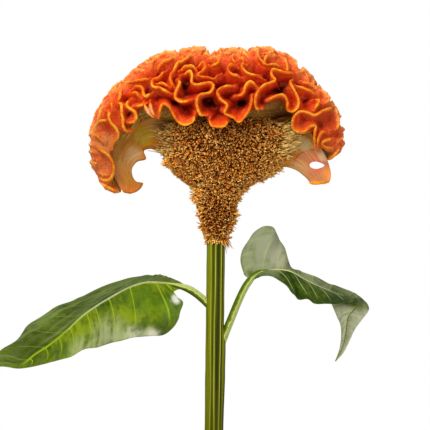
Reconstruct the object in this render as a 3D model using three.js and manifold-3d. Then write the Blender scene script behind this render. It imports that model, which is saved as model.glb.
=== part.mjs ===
// A crested cockscomb in a plain clay pot, in millimetres, with Z up.
// The origin is the centre of the pot's underside. The comb faces -Y.

import * as THREE from 'three';
import { ParametricGeometry } from 'three/addons/geometries/ParametricGeometry.js';
import { mergeGeometries, mergeVertices } from 'three/addons/utils/BufferGeometryUtils.js';
import Module from 'manifold-3d';

const wasm = await Module();
wasm.setup();

// Driving dimensions

const GAP = 0.3;

const POT_HEIGHT = 112;
const POT_BASE_RADIUS = 45;
const POT_RIM_RADIUS = 66;
const POT_BAND_HEIGHT = 24;
const POT_BAND_STEP = 4;
const POT_WALL = 5.5;
const POT_FLOOR = 7;
const POT_EDGE = 2;
const POT_FOOT_EDGE = 1.5;
const POT_SIDES = 36;
const DRAIN_COUNT = 3;
const DRAIN_RADIUS = 5;
const DRAIN_RING = 23;
const DRAIN_SIDES = 12;

const SOIL_LEVEL = 99;
const SOIL_CRUMB = 1.6;
const SOIL_SECTORS = 30;
const SOIL_RINGS = 8;
const SOIL_MOUND = 1.5;
const SOIL_CLEARANCE = 0.5;
const SOIL_HOLE_SIDES = 20;

const STEM_RADIUS = 4.5;
const STEM_RIBS = 11;
const STEM_RIB_HEIGHT = 0.35;
const STEM_FOOT = 42;
const STEM_LEAN = 1.5;
const STEM_OFFSET = 0.5;

const NECK_FOOT = 217;
const FAN_HALF_THICKNESS = 1.2;
const FAN_ROOT = 12;

const FOLD_STEP = 4.7;
const SHORT_FOLD = 4;
const CROWN_STEPS = 6;
const RIM_END_SINK = 0.84;
const RIM_HALF = 1.0;
const ROOT_HALF = 1.4;
const CORE_SHARE = 0.55;
const ROOT_SHARE = 0.44;
const CORE_SIDES = 14;
const CORE_STATIONS = 26;
const ARCH_SAMPLES = 400;
const FACE_LIMIT = 0.97;

const LEAF_THICKNESS = 0.8;
const LEAF_STATIONS = 26;
const LEAF_ACROSS = 6;
const LEAF_RIPPLE = 1.1;
const LEAF_RIPPLES = 9;
const LEAF_SWELL = 1.6;
const LEFT_STALK_RADIUS = 2.0;
const RIGHT_STALK_RADIUS = 1.9;
const STALK_SIDES = 6;
const STALK_STATIONS = 20;
const STALK_THINNING = 0.72;

// A fixed scatter from 0 to 1 for each pair of whole numbers, the same every time
function scatter(column, row) {
  const wave = Math.sin(column * 127.1 + row * 311.7) * 43758.5453;
  return wave - Math.floor(wave);
}

// Closed bodies

function closedGeometry(geometry, reach = 1e-4) {
  const bare = new THREE.BufferGeometry();
  bare.setAttribute('position', geometry.getAttribute('position'));
  if (geometry.index) bare.setIndex(geometry.index);
  const merged = mergeVertices(bare, reach);
  const kept = [];
  const index = merged.index.array;
  for (let i = 0; i < index.length; i += 3) {
    const [a, b, c] = [index[i], index[i + 1], index[i + 2]];
    if (a !== b && b !== c && c !== a) kept.push(a, b, c);
  }
  merged.setIndex(kept);
  return merged;
}

// The body's solid, turned right side out if its faces point in
function toSolid(geometry, reach = 1e-4) {
  const closed = closedGeometry(geometry, reach);
  const build = () => new wasm.Manifold(new wasm.Mesh({
    numProp: 3,
    vertProperties: new Float32Array(closed.getAttribute('position').array),
    triVerts: new Uint32Array(closed.index.array),
  }));
  const solid = build();
  if (solid.volume() > 0) return solid;
  turnedOver(closed);
  return build();
}

function toGeometry(solid) {
  const mesh = solid.getMesh();
  const geometry = new THREE.BufferGeometry();
  geometry.setAttribute('position', new THREE.BufferAttribute(mesh.vertProperties, 3));
  geometry.setIndex(new THREE.BufferAttribute(mesh.triVerts, 1));
  return geometry;
}

// The largest closed surface of a solid: loose scraps are dropped and sealed hollows filled.
// Corners under 2 microns apart are joined first, because a joint there can pinch off a hollow.
function largestBody(solid) {
  const largest = (bodies) => bodies.reduce((best, body) => (body.volume() > best.volume() ? body : best));
  const first = largest(solid.decompose());
  return largest(toSolid(toGeometry(first), 2e-3).decompose());
}

// A skin that closes round u and shrinks to a point at both ends of v
function skin(place, around, along) {
  return new ParametricGeometry((u, v, target) => target.copy(place(u === 1 ? 0 : u, v)), around, along);
}

function surface(place, across, along) {
  return new ParametricGeometry((u, v, target) => target.copy(place(u, v)), across, along);
}

function turnedOver(geometry) {
  const index = geometry.index.array;
  for (let i = 0; i < index.length; i += 3) {
    const second = index[i + 1];
    index[i + 1] = index[i + 2];
    index[i + 2] = second;
  }
  return geometry;
}

// A rod with a changing radius along a curve, rounded off at both ends
function rod(curve, radius, sides, steps) {
  const side = new THREE.Vector3(0, 1, 0);
  return skin((u, v) => {
    const at = curve.getPoint(v);
    const end = v === 0 || v === 1;
    if (end) return at;
    const tangent = curve.getTangent(v);
    const first = side.clone().addScaledVector(tangent, -side.dot(tangent)).normalize();
    const second = new THREE.Vector3().crossVectors(tangent, first);
    const angle = 2 * Math.PI * u;
    return at.addScaledVector(first, Math.cos(angle) * radius(v))
      .addScaledVector(second, Math.sin(angle) * radius(v));
  }, sides, steps);
}

const lathePoint = ([radius, height]) => new THREE.Vector2(radius, height);

// LatheGeometry turns about Y, so its body is stood up along Z
function turned(profile, sides) {
  return new THREE.LatheGeometry(profile.map(lathePoint), sides).rotateX(Math.PI / 2);
}

function uprightCylinder(radius, bottom, top, sides) {
  return new THREE.CylinderGeometry(radius, radius, top - bottom, sides)
    .rotateX(Math.PI / 2).translate(0, 0, (top + bottom) / 2);
}

// Pot

const potInnerFloorRadius = POT_BASE_RADIUS - POT_WALL + 1;
const potBandFoot = POT_HEIGHT - POT_BAND_HEIGHT;
const potBodyTopRadius = POT_RIM_RADIUS - POT_BAND_STEP - 1;
const potInnerTopRadius = POT_RIM_RADIUS - POT_WALL - POT_BAND_STEP;

function potGeometry() {
  const clay = toSolid(turned([
    [0, 0],
    [POT_BASE_RADIUS - POT_FOOT_EDGE, 0],
    [POT_BASE_RADIUS, POT_FOOT_EDGE],
    [potBodyTopRadius, potBandFoot],
    [POT_RIM_RADIUS - POT_EDGE / 2, potBandFoot],
    [POT_RIM_RADIUS, potBandFoot + POT_EDGE],
    [POT_RIM_RADIUS, POT_HEIGHT - POT_EDGE],
    [POT_RIM_RADIUS - POT_EDGE, POT_HEIGHT],
    [potInnerTopRadius + POT_EDGE / 2, POT_HEIGHT],
    [potInnerTopRadius, POT_HEIGHT - POT_EDGE],
    [potInnerFloorRadius, POT_FLOOR],
    [0, POT_FLOOR],
  ], POT_SIDES));
  const drains = [];
  for (let i = 0; i < DRAIN_COUNT; i += 1) {
    const angle = 2 * Math.PI * i / DRAIN_COUNT + Math.PI / 2;
    drains.push(toSolid(uprightCylinder(DRAIN_RADIUS, -1, POT_FLOOR + 1, DRAIN_SIDES)
      .translate(DRAIN_RING * Math.cos(angle), DRAIN_RING * Math.sin(angle), 0)));
  }
  return toGeometry(clay.subtract(wasm.Manifold.union(drains)));
}

// Soil

function innerWallRadius(height) {
  const share = (height - POT_FLOOR) / (POT_HEIGHT - POT_EDGE - POT_FLOOR);
  return THREE.MathUtils.lerp(potInnerFloorRadius, potInnerTopRadius, share);
}

// How far across the stem's axis is at a height
const stemAcross = (height) => (
  STEM_OFFSET - STEM_LEAN * (NECK_FOOT - height) / (NECK_FOOT - SOIL_LEVEL));

function soilGeometry() {
  const flatFacet = Math.cos(Math.PI / POT_SIDES);
  const bottom = POT_FLOOR + GAP;
  const edge = (height) => innerWallRadius(height) * flatFacet - SOIL_CLEARANCE;
  const ringPoint = (radius, angle, height) => (
    new THREE.Vector3(radius * Math.cos(angle), radius * Math.sin(angle), height));
  const heap = skin((u, v) => {
    const angle = 2 * Math.PI * u;
    const ring = Math.round(v * (SOIL_RINGS + 2));
    const sector = Math.round(u * SOIL_SECTORS);
    if (ring === 0) return ringPoint(0, 0, bottom);
    if (ring === 1) return ringPoint(edge(bottom), angle, bottom);
    if (ring === 2) return ringPoint(edge(SOIL_LEVEL), angle, SOIL_LEVEL - 1);
    if (ring === SOIL_RINGS + 2) return ringPoint(0, 0, SOIL_LEVEL + SOIL_MOUND);
    const share = 1 - (ring - 2) / SOIL_RINGS;
    const crumb = SOIL_CRUMB * (scatter(sector, ring) * 2 - 1);
    const height = SOIL_LEVEL + SOIL_MOUND * (1 - share * share) + crumb;
    const radius = share * edge(SOIL_LEVEL) * (0.97 + 0.05 * scatter(ring, sector));
    return ringPoint(radius, angle, height);
  }, SOIL_SECTORS, SOIL_RINGS + 2);
  const holeRadius = STEM_RADIUS + STEM_RIB_HEIGHT + 2 * GAP;
  const hole = leanAlong(uprightCylinder(holeRadius, STEM_FOOT - GAP, POT_HEIGHT, SOIL_HOLE_SIDES)
    .translate(stemAcross(STEM_FOOT), 0, 0));
  return toGeometry(largestBody(toSolid(heap).subtract(toSolid(hole))));
}

// Stem and fan

function leanAlong(geometry) {
  const position = geometry.getAttribute('position');
  const foot = stemAcross(STEM_FOOT);
  for (let i = 0; i < position.count; i += 1) {
    const shift = stemAcross(Math.min(position.getZ(i), NECK_FOOT)) - foot;
    position.setX(i, position.getX(i) + shift);
  }
  return geometry;
}

function stemColumn(extra) {
  const outline = new THREE.Shape();
  const count = STEM_RIBS * 4;
  for (let i = 0; i < count; i += 1) {
    const angle = 2 * Math.PI * i / count;
    const radius = STEM_RADIUS + extra + STEM_RIB_HEIGHT * Math.cos(STEM_RIBS * angle);
    const [x, y] = [radius * Math.cos(angle), radius * Math.sin(angle)];
    if (i === 0) outline.moveTo(x, y);
    else outline.lineTo(x, y);
  }
  const column = new THREE.ExtrudeGeometry(outline, {
    depth: NECK_FOOT + FAN_ROOT - STEM_FOOT,
    steps: 3,
    bevelEnabled: false,
  });
  return toSolid(leanAlong(column.translate(stemAcross(STEM_FOOT), 0, STEM_FOOT)));
}

// Outline of the flat fan: across from the stem's axis, and up from the neck's foot.
// It starts in the neck, goes round the hook at the left, over the arch and round the right end.
const FAN_OUTLINE = [
  [-3, 4], [-12, 34], [-23, 43], [-28, 44.5], [-32, 45.5], [-35.5, 44.5], [-34.5, 40.5],
  [-39, 39], [-41.5, 35.5], [-41, 31.5], [-39, 29], [-36, 28.5], [-37, 26], [-39.5, 24],
  [-42.5, 23], [-46, 24], [-50, 31], [-51.5, 40], [-50.5, 49], [-46, 58], [-37, 66.5],
  [-24, 70], [0, 69], [28, 70], [40, 66], [47, 57], [51.5, 47], [56.5, 39], [58, 33],
  [57, 28.5], [52.5, 27.5], [47, 28.5], [44, 32], [41, 35], [37.5, 36], [31, 36], [15, 30], [6, 14], [4, 4],
];
const FAN_HOLE_CENTRE = [50.9, 37.4];
const FAN_HOLE_HALF = [3.5, 1.7];
const FAN_WAVE = 1.2;

// The fan is flat in the neck and waves gently towards its two ends
const fanWave = (x, z) => (
  FAN_WAVE * Math.sin(x / 7 + 0.6) * Math.min(1, Math.abs(x) / 40) * Math.cos(z / 30));

function fanPlate(extra) {
  const outline = new THREE.Shape(FAN_OUTLINE.map(([x, z]) => new THREE.Vector2(x, z)));
  const hole = new THREE.Path();
  const [halfAcross, halfUp] = FAN_HOLE_HALF;
  hole.absellipse(...FAN_HOLE_CENTRE, halfAcross - extra, halfUp - extra, 0, 2 * Math.PI, false);
  outline.holes.push(hole);
  const thick = 2 * (FAN_HALF_THICKNESS + extra);
  const plate = new THREE.ExtrudeGeometry(outline, {
    depth: thick,
    bevelEnabled: false,
    curveSegments: 6,
  });
  plate.translate(0, 0, -thick / 2).rotateX(Math.PI / 2).translate(0, 0, NECK_FOOT);
  const position = plate.getAttribute('position');
  for (let i = 0; i < position.count; i += 1) {
    const wave = fanWave(position.getX(i), position.getZ(i) - NECK_FOOT);
    position.setY(i, position.getY(i) + wave);
  }
  return toSolid(plate);
}

const stemSolid = stemColumn(0).add(fanPlate(0));
const stemClearance = stemColumn(GAP).add(fanPlate(GAP));

// Neck of florets

// Height above the neck's foot, left edge, right edge and half depth of the floret mass
const NECK_SECTIONS = [
  [0, -6, 7, 5.2], [4, -6.8, 9.6, 6.4], [12, -8.2, 10.2, 7.4], [20, -9.6, 11.4, 8.2], [26, -11.5, 16, 9.6],
  [32, -18.5, 26, 12], [38, -23.5, 32, 14.5], [46, -26, 35, 17], [54, -27, 36, 18.5], [61, -20, 27, 12],
];
const FLORET_SPIKE = 1.7;
const FLORET_ROUND = 51;
const FLORET_ROWS = 27;

const neckEdges = new THREE.CatmullRomCurve3(
  NECK_SECTIONS.map(([z, left, right]) => new THREE.Vector3(left, right, z)), false, 'centripetal');
const neckDepths = new THREE.CatmullRomCurve3(
  NECK_SECTIONS.map(([z, , , depth]) => new THREE.Vector3(depth, 0, z)), false, 'centripetal');

function neckPoint(angle, share, swell) {
  const edges = neckEdges.getPoint(share);
  const depth = neckDepths.getPoint(share).x;
  const centre = (edges.x + edges.y) / 2;
  const half = (edges.y - edges.x) / 2;
  return new THREE.Vector3(
    centre + (half + swell) * Math.cos(angle),
    (depth + swell) * Math.sin(angle),
    NECK_FOOT + edges.z);
}

function neckSolid(spike, swell, around, rows) {
  const body = skin((u, v) => {
    const row = Math.round(v * rows);
    const column = Math.round(u * around);
    const low = NECK_FOOT + NECK_SECTIONS[0][0] - swell;
    const high = NECK_FOOT + NECK_SECTIONS[NECK_SECTIONS.length - 1][0] + 2 + swell;
    if (row === 0) return new THREE.Vector3(0.5, 0, low);
    if (row === rows) return new THREE.Vector3(3, 0, high);
    const raised = (column + 2 * row) % 3 === 0;
    const share = (row - 1) / (rows - 2);
    const size = spike * (0.75 + 0.5 * scatter(column, row));
    const out = swell + (raised ? size * 0.6 : -size * 0.4);
    const point = neckPoint(2 * Math.PI * u, share, out);
    if (raised && row > 1) point.z += 0.35 * spike;
    point.z += swell * share;
    return point;
  }, around, rows);
  return toSolid(body);
}

const neckClearance = neckSolid(0, FLORET_SPIKE * 0.75 + 2 * GAP, FLORET_ROUND, FLORET_ROWS);
const floretSolid = neckSolid(FLORET_SPIKE, 0, FLORET_ROUND, FLORET_ROWS).subtract(stemClearance);

// Crest

// The comb's core runs along an arch: across, up, and how far the rims stand off the arch
const ARCH = [
  [-47, 27, 4.5], [-52, 37, 10], [-52, 47, 11.5], [-46.5, 59, 14.5], [-37.5, 67, 17.5],
  [-24.5, 70.5, 20.5], [-12.5, 69.5, 26], [0.5, 69, 28], [15, 69.5, 27], [28.5, 71, 24],
  [38.5, 68.5, 18.5], [45.5, 60.5, 15.5], [51.5, 50, 11.5], [55, 40, 6],
];

// Rims of the folds on the face of the comb: across from the stem's axis and up from the neck's foot
const FACE_FOLDS = [
  [[-59.5, 46], [-55.5, 41.5], [-51.5, 39], [-50.5, 34], [-53, 29.5], [-58, 30]],
  [[-59, 29], [-54, 26.5], [-48, 23]],
  [[-61, 51.5], [-59, 54], [-53.5, 55]],
  [[-54.5, 61], [-52, 55.5], [-48.5, 51], [-48, 46.5], [-51, 42]],
  [[-59.5, 59.5], [-57, 63.5], [-53.5, 68]],
  [[-53, 71], [-51.5, 66.5], [-52.5, 60]],
  [[-46.5, 77], [-47.5, 72], [-50, 68]],
  [[-49, 68], [-46.5, 66], [-45.5, 61], [-44.5, 54.5], [-42.5, 53], [-39.5, 53]],
  [[-41.5, 70.5], [-43.5, 67], [-42, 63.5], [-38.5, 60], [-39, 56.5], [-42.5, 55], [-45, 56]],
  [[-42, 61], [-38, 61.5], [-34, 62.5]],
  [[-43.5, 72.5], [-39, 74.5], [-36, 72.5], [-34.5, 69], [-32, 69.5], [-30, 71.5]],
  [[-44.5, 79], [-39, 78.5], [-35, 80], [-31.5, 82]],
  [[-24, 84.5], [-27, 80.5], [-30.5, 78.5], [-30.5, 75.5], [-27, 75], [-24, 72.5], [-21, 71.5]],
  [[-28.5, 77.5], [-25, 76.5], [-21.5, 75]],
  [[-15.5, 93], [-19.5, 91.5], [-24, 89], [-26.5, 88], [-27.5, 85.5], [-29.5, 84]],
  [[-10.5, 93.5], [-14.5, 90], [-18, 87.5], [-20.5, 83], [-22, 80], [-20.5, 77], [-19, 75]],
  [[-18.5, 80.5], [-17, 77.5], [-19, 73], [-19.5, 69.5], [-16.5, 67.5], [-11, 68.5]],
  [[-27.5, 59], [-27, 63.5], [-25, 67], [-22.5, 65.5], [-20, 60.5], [-17, 57], [-13, 56.5]],
  [[-16.5, 82.5], [-12, 83], [-11, 80.5], [-11.5, 77], [-8.5, 76], [-3, 77.5], [-0.5, 76],
    [-2, 72.5], [-7.5, 71], [-9, 68], [-8, 62.5], [-6.5, 60], [-3.5, 60]],
  [[-2.5, 59], [-1, 55.5], [5, 56]],
  [[-7.5, 87.5], [-5.5, 84.5], [-9, 81], [-4.5, 80], [0, 79], [1.5, 81.5], [3.5, 83.5]],
  [[-4.5, 88.5], [-1, 87], [2, 88], [1, 90.5], [-3, 93]],
  [[10, 76.5], [3.5, 75], [1, 73], [2.5, 69], [6, 66], [4.5, 62], [7.5, 61], [11.5, 57.5]],
  [[10, 70.5], [13.5, 71.5], [15, 76], [17, 78], [19.5, 76.5], [21.5, 74]],
  [[11.5, 86.5], [7.5, 85], [7, 82], [10.5, 80.5], [14.5, 80.5]],
  [[15.5, 88.5], [14, 85.5], [17.5, 82], [21.5, 81], [25.5, 79.5]],
  [[30, 95], [23.5, 95], [20.5, 92.5], [23, 88], [27.5, 87], [34, 87]],
  [[23.5, 88], [25.5, 90.5], [30, 92]],
  [[34, 91.5], [35.5, 87.5], [37, 82.5]],
  [[40.5, 84], [37, 82.5], [31, 84], [27.5, 83.5], [29.5, 79.5], [28.5, 77], [24.5, 76],
    [20.5, 73], [19.5, 67], [20.5, 63.5], [23.5, 63.5]],
  [[25.5, 68], [29.5, 70.5], [33.5, 71.5], [35.5, 68], [35.5, 64], [38, 63], [41, 66],
    [41, 70], [38, 75.5], [37, 78.5], [39, 81]],
  [[55.5, 65], [52, 63], [49, 61.5], [45.5, 63], [41.5, 63.5], [38.5, 60.5], [38, 56],
    [40.5, 53.5], [44, 53.5], [47.5, 56.5], [50, 56.5], [49, 51], [49, 45.5]],
  [[50.5, 45.5], [51, 50.5], [53, 53.5], [57.5, 53]],
  [[59.5, 50.5], [54, 49], [52.5, 47.5], [54.5, 46], [59, 45.5]],
  [[49, 64], [49, 67.5], [51.5, 70]],
  [[44, 80], [47, 77], [50.5, 76], [52.5, 74]],
  [[63, 47], [61.5, 44.5], [56, 39]],
  [[-49, 76], [-45.5, 80], [-42.5, 83.5], [-38.5, 85], [-34.5, 85.5]],
  [[-32.5, 87], [-29.5, 90], [-25.5, 92.5], [-21, 94], [-18, 93]],
  [[-17, 91], [-14.5, 95], [-10.5, 96], [-7, 94.5], [-5, 92]],
  [[-3, 91.5], [-1, 94.5], [3.5, 96], [8.5, 96], [10.5, 93.5], [12.5, 90]],
  [[33, 93.5], [37, 91.5], [40, 89], [41, 85.5]],
  [[41.5, 82.5], [44.5, 84], [48, 81], [49, 78]],
  [[51.5, 77.5], [55, 74.5], [57.5, 71], [55.5, 68], [52.5, 67]],
  [[58.5, 68.5], [61, 63.5], [62, 59], [60.5, 55], [57.5, 54.5]],
];

// Folds over the top of the comb: share of the arch, first and last angle in degrees, and sway
const CROWN_FOLDS = [
  [0.14, 70, 110, 0.02], [0.24, 66, 118, -0.02], [0.33, 60, 116, 0.02], [0.42, 62, 114, -0.02],
  [0.51, 58, 120, 0.02], [0.6, 64, 118, -0.02], [0.69, 60, 116, 0.02], [0.78, 66, 114, -0.02],
  [0.87, 70, 110, 0.02],
];

const archCurve = new THREE.CatmullRomCurve3(
  ARCH.map(([x, z, reach]) => new THREE.Vector3(x, reach, z)), false, 'centripetal');

// Centre, outward direction and reach of the arch at a share of its length
function archAt(share) {
  const inside = THREE.MathUtils.clamp(share, 0, 1);
  const point = archCurve.getPoint(inside);
  const tangent = archCurve.getTangent(inside);
  const outward = new THREE.Vector3(-tangent.z, 0, tangent.x).normalize();
  return { centre: new THREE.Vector3(point.x, 0, point.z), outward, reach: point.y };
}

// Point of the comb at a share of the arch, an angle round it (0 faces -Y, 90 is on top) and a radius
function combPoint(share, angle, radius) {
  const { centre, outward } = archAt(share);
  return centre.addScaledVector(outward, radius * Math.sin(angle))
    .add(new THREE.Vector3(0, -radius * Math.cos(angle), NECK_FOOT));
}

// Share and angle of the face of the comb that lie behind a point of the front view
function faceToComb(x, z) {
  let best = { distance: Infinity };
  for (let i = 0; i <= ARCH_SAMPLES; i += 1) {
    const share = i / ARCH_SAMPLES;
    const { centre } = archAt(share);
    const distance = Math.hypot(x - centre.x, z - centre.z);
    if (distance < best.distance) best = { distance, share };
  }
  const { centre, outward, reach } = archAt(best.share);
  const off = (x - centre.x) * outward.x + (z - centre.z) * outward.z;
  const sine = THREE.MathUtils.clamp(off / reach, -FACE_LIMIT, FACE_LIMIT);
  return { share: best.share, angle: Math.asin(sine) };
}

function foldStations(points) {
  const curve = new THREE.CatmullRomCurve3(
    points.map(([x, z]) => new THREE.Vector3(x, 0, z)), false, 'centripetal');
  const steps = Math.max(2, Math.round(curve.getLength() / FOLD_STEP));
  return curve.getSpacedPoints(steps).map((point) => faceToComb(point.x, point.z));
}

// The back of the comb has the same folds, turned end for end
const toBack = (station) => ({ share: 1 - station.share, angle: Math.PI - station.angle });

// A fold over the top of the comb, from the face to the back
function crownStations(share, from, to, sway) {
  return Array.from({ length: CROWN_STEPS + 1 }, (_, i) => ({
    share: share + sway * Math.sin(2 * Math.PI * i / CROWN_STEPS),
    angle: THREE.MathUtils.degToRad(THREE.MathUtils.lerp(from, to, i / CROWN_STEPS)),
  }));
}

// One wall of the comb, from its rim down into the core
function foldSolid(stations) {
  const last = stations.length - 1;
  const rims = stations.map(({ share, angle }, i) => {
    const sink = i === 0 || i === last ? RIM_END_SINK : 1;
    return combPoint(share, angle, archAt(share).reach * sink);
  });
  const roots = stations.map((station, i) => {
    const near = stations.slice(Math.max(0, i - 1), i + 2);
    const share = near.reduce((sum, item) => sum + item.share, 0) / near.length;
    const angle = near.reduce((sum, item) => sum + item.angle, 0) / near.length;
    return combPoint(share, angle, archAt(share).reach * ROOT_SHARE);
  });
  const sections = rims.map((rim, i) => {
    const along = rims[Math.min(last, i + 1)].clone().sub(rims[Math.max(0, i - 1)]);
    const down = roots[i].clone().sub(rim).normalize();
    const across = new THREE.Vector3().crossVectors(along, down).normalize();
    return [
      rim.clone().addScaledVector(across, -RIM_HALF),
      rim.clone().addScaledVector(across, RIM_HALF),
      roots[i].clone().addScaledVector(across, ROOT_HALF),
      roots[i].clone().addScaledVector(across, -ROOT_HALF),
    ];
  });
  const middle = (section) => section.reduce((sum, point) => sum.add(point), new THREE.Vector3())
    .multiplyScalar(1 / section.length);
  return toSolid(skin((u, v) => {
    const ring = Math.round(v * (last + 2));
    if (ring === 0) return middle(sections[0]);
    if (ring === last + 2) return middle(sections[last]);
    return sections[ring - 1][Math.round(u * 4) % 4];
  }, 4, last + 2));
}

function coreSolid() {
  return toSolid(skin((u, v) => {
    const { reach } = archAt(v);
    const end = v === 0 || v === 1;
    return combPoint(v, 2 * Math.PI * u, end ? 0 : reach * CORE_SHARE);
  }, CORE_SIDES, CORE_STATIONS));
}

function crestSolid() {
  const face = FACE_FOLDS.map(foldStations);
  const crown = CROWN_FOLDS.map((fold) => crownStations(...fold));
  const back = face.filter((fold) => fold.length > SHORT_FOLD).map((fold) => fold.map(toBack));
  const walls = face.concat(back, crown).map(foldSolid);
  const comb = wasm.Manifold.union([coreSolid(), ...walls]);
  return largestBody(comb.subtract(neckClearance).subtract(stemClearance));
}

// Leaves

// Each row is one station from the stalk to the tip: the near edge, the midrib and the far edge,
// as across, towards the back, and up from the pot's underside
const LEFT_LEAF = [
  { near: [-13.4, -1, 192.3], rib: [-13.5, -1, 193], far: [-13.6, -1, 193.6] },
  { near: [-17, -3, 189.5], rib: [-17, -1.5, 194.5], far: [-16, 4, 196] },
  { near: [-17.5, -7, 180], rib: [-24, -2, 195.8], far: [-24, 12, 198.5] },
  { near: [-28, -9.5, 169.5], rib: [-33, -2.5, 196], far: [-33, 19, 200] },
  { near: [-40, -10, 167.5], rib: [-43, -3, 193.2], far: [-43, 22, 198.5] },
  { near: [-52, -10, 165.5], rib: [-53, -3.5, 188], far: [-54, 22, 195] },
  { near: [-63, -9, 162.5], rib: [-63, -4, 182.5], far: [-64, 20, 190.5] },
  { near: [-74, -8.5, 158.5], rib: [-73, -4, 174.5], far: [-74, 17, 185] },
  { near: [-84, -7.5, 155], rib: [-83, -4, 167], far: [-84, 13, 180.5] },
  { near: [-95, -6, 152.8], rib: [-93, -3.5, 158.5], far: [-95, 8, 172] },
  { near: [-107, -4, 152.5], rib: [-105, -3, 154.5], far: [-106.5, 3, 162] },
  { near: [-117.6, -2, 150.4], rib: [-117.6, -2, 150.8], far: [-117.6, -1.6, 151.3] },
];
const LEFT_STALK = [[-2, 0, 183.5], [-6, -0.3, 187.3], [-9.5, -0.6, 190.6], [-13.5, -1, 193]];

const RIGHT_LEAF = [
  { near: [17.5, -0.4, 196.6], rib: [17.6, 0, 197], far: [17.4, 0.5, 197.5] },
  { near: [20.5, -0.7, 198.9], rib: [20.5, 0.3, 199.8], far: [14, 3, 207] },
  { near: [24.5, -1.5, 200], rib: [25, 0.8, 201.3], far: [18, 5, 219] },
  { near: [29.5, -4, 199], rib: [30.5, 1.5, 201.8], far: [27.5, 8, 224] },
  { near: [35, -7, 194.5], rib: [37, 3, 200.8], far: [34.5, 13, 215] },
  { near: [41, -8, 187.5], rib: [44, 6, 197.5], far: [40, 19, 202.5] },
  { near: [50, -6, 185.5], rib: [52, 11, 193.5], far: [50, 26, 199.5] },
  { near: [59, -2, 184], rib: [60.5, 17, 190], far: [59, 32, 195.5] },
  { near: [67.5, 6, 184.8], rib: [67, 25, 187.5], far: [66, 37, 190.5] },
  { near: [77, 16, 184], rib: [70, 32, 183], far: [63, 42, 184] },
  { near: [73.5, 27, 178], rib: [68.5, 36, 176.5], far: [62.5, 43, 177] },
  { near: [68, 33, 170], rib: [65.5, 38, 168.5], far: [62.5, 42, 169] },
  { near: [63.4, 37.5, 160], rib: [62, 38.5, 159.5], far: [60.8, 39.5, 159.8] },
  { near: [60.7, 38.2, 153.2], rib: [60.4, 38.5, 153], far: [60.1, 38.8, 153.2] },
];
const RIGHT_STALK = [
  [2, 0, 156], [5.4, 0, 165], [8, 0, 176], [11.5, 0, 187], [14.5, 0, 193.5], [17.6, 0, 197],
];

function leafSolid(rows, stalk, stalkRadius) {
  const guide = (name) => new THREE.CatmullRomCurve3(rows.map((row) => new THREE.Vector3(...row[name])));
  const [near, rib, far] = [guide('near'), guide('rib'), guide('far')];
  const blade = (u, v) => {
    const spread = Math.abs(2 * u - 1);
    const edge = (u < 0.5 ? near : far).getPoint(v);
    const middle = rib.getPoint(v);
    const width = edge.distanceTo(middle);
    const point = middle.clone().lerp(edge, spread);
    const fade = Math.min(1, width / 10);
    const swell = LEAF_SWELL * Math.sin(Math.PI * spread) * fade;
    const ripple = LEAF_RIPPLE * Math.sin(2 * Math.PI * LEAF_RIPPLES * v + u) * spread ** 2 * fade;
    const lift = new THREE.Vector3().crossVectors(far.getPoint(v).sub(near.getPoint(v)), rib.getTangent(v));
    return point.addScaledVector(lift.normalize(), -(swell + ripple));
  };
  const normalAt = (u, v) => {
    const step = 0.01;
    const [u0, u1] = [Math.max(0, u - step), Math.min(1, u + step)];
    const [v0, v1] = [Math.max(0, v - step), Math.min(1, v + step)];
    return new THREE.Vector3().crossVectors(
      blade(u1, v).sub(blade(u0, v)), blade(u, v1).sub(blade(u, v0))).normalize();
  };
  const half = LEAF_THICKNESS / 2;
  const top = (u, v) => blade(u, v).addScaledVector(normalAt(u, v), half);
  const bottom = (u, v) => blade(u, v).addScaledVector(normalAt(u, v), -half);
  const strip = (from, to, count) => surface((w, s) => from(w).lerp(to(w), s), count, 1);
  const sheet = toSolid(mergeGeometries([
    surface(top, LEAF_ACROSS, LEAF_STATIONS),
    turnedOver(surface(bottom, LEAF_ACROSS, LEAF_STATIONS)),
    strip((u) => bottom(u, 0), (u) => top(u, 0), LEAF_ACROSS),
    strip((u) => top(u, 1), (u) => bottom(u, 1), LEAF_ACROSS),
    strip((v) => top(0, v), (v) => bottom(0, v), LEAF_STATIONS),
    strip((v) => bottom(1, v), (v) => top(1, v), LEAF_STATIONS),
  ].map((geometry) => {
    geometry.deleteAttribute('normal');
    geometry.deleteAttribute('uv');
    return geometry;
  })));
  const stalkPoints = stalk.map((point) => new THREE.Vector3(...point));
  const ribPoints = rows.slice(1, -1).map((row) => new THREE.Vector3(...row.rib));
  const path = new THREE.CatmullRomCurve3([...stalkPoints, ...ribPoints], false, 'centripetal');
  const radius = (v) => stalkRadius * (1 - STALK_THINNING * Math.min(1, v * 1.3));
  const stalkAndRib = toSolid(rod(path, radius, STALK_SIDES, STALK_STATIONS));
  return largestBody(sheet.add(stalkAndRib).subtract(stemClearance));
}

// Materials and assembly

const clayMaterial = new THREE.MeshStandardMaterial({ color: 0xb5653c, roughness: 0.85, metalness: 0 });
const soilMaterial = new THREE.MeshStandardMaterial({ color: 0x3a2a1e, roughness: 0.95, metalness: 0 });
const stemMaterial = new THREE.MeshStandardMaterial({ color: 0x7c8f2a, roughness: 0.5, metalness: 0 });
const leafMaterial = new THREE.MeshStandardMaterial({ color: 0x4f7a1e, roughness: 0.4, metalness: 0 });
const floretMaterial = new THREE.MeshStandardMaterial({ color: 0xb07a30, roughness: 0.8, metalness: 0 });
const crestMaterial = new THREE.MeshStandardMaterial({ color: 0xe0541a, roughness: 0.7, metalness: 0 });

function piece(name, geometry, material) {
  const mesh = new THREE.Mesh(geometry, material);
  mesh.name = name;
  return mesh;
}

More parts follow.
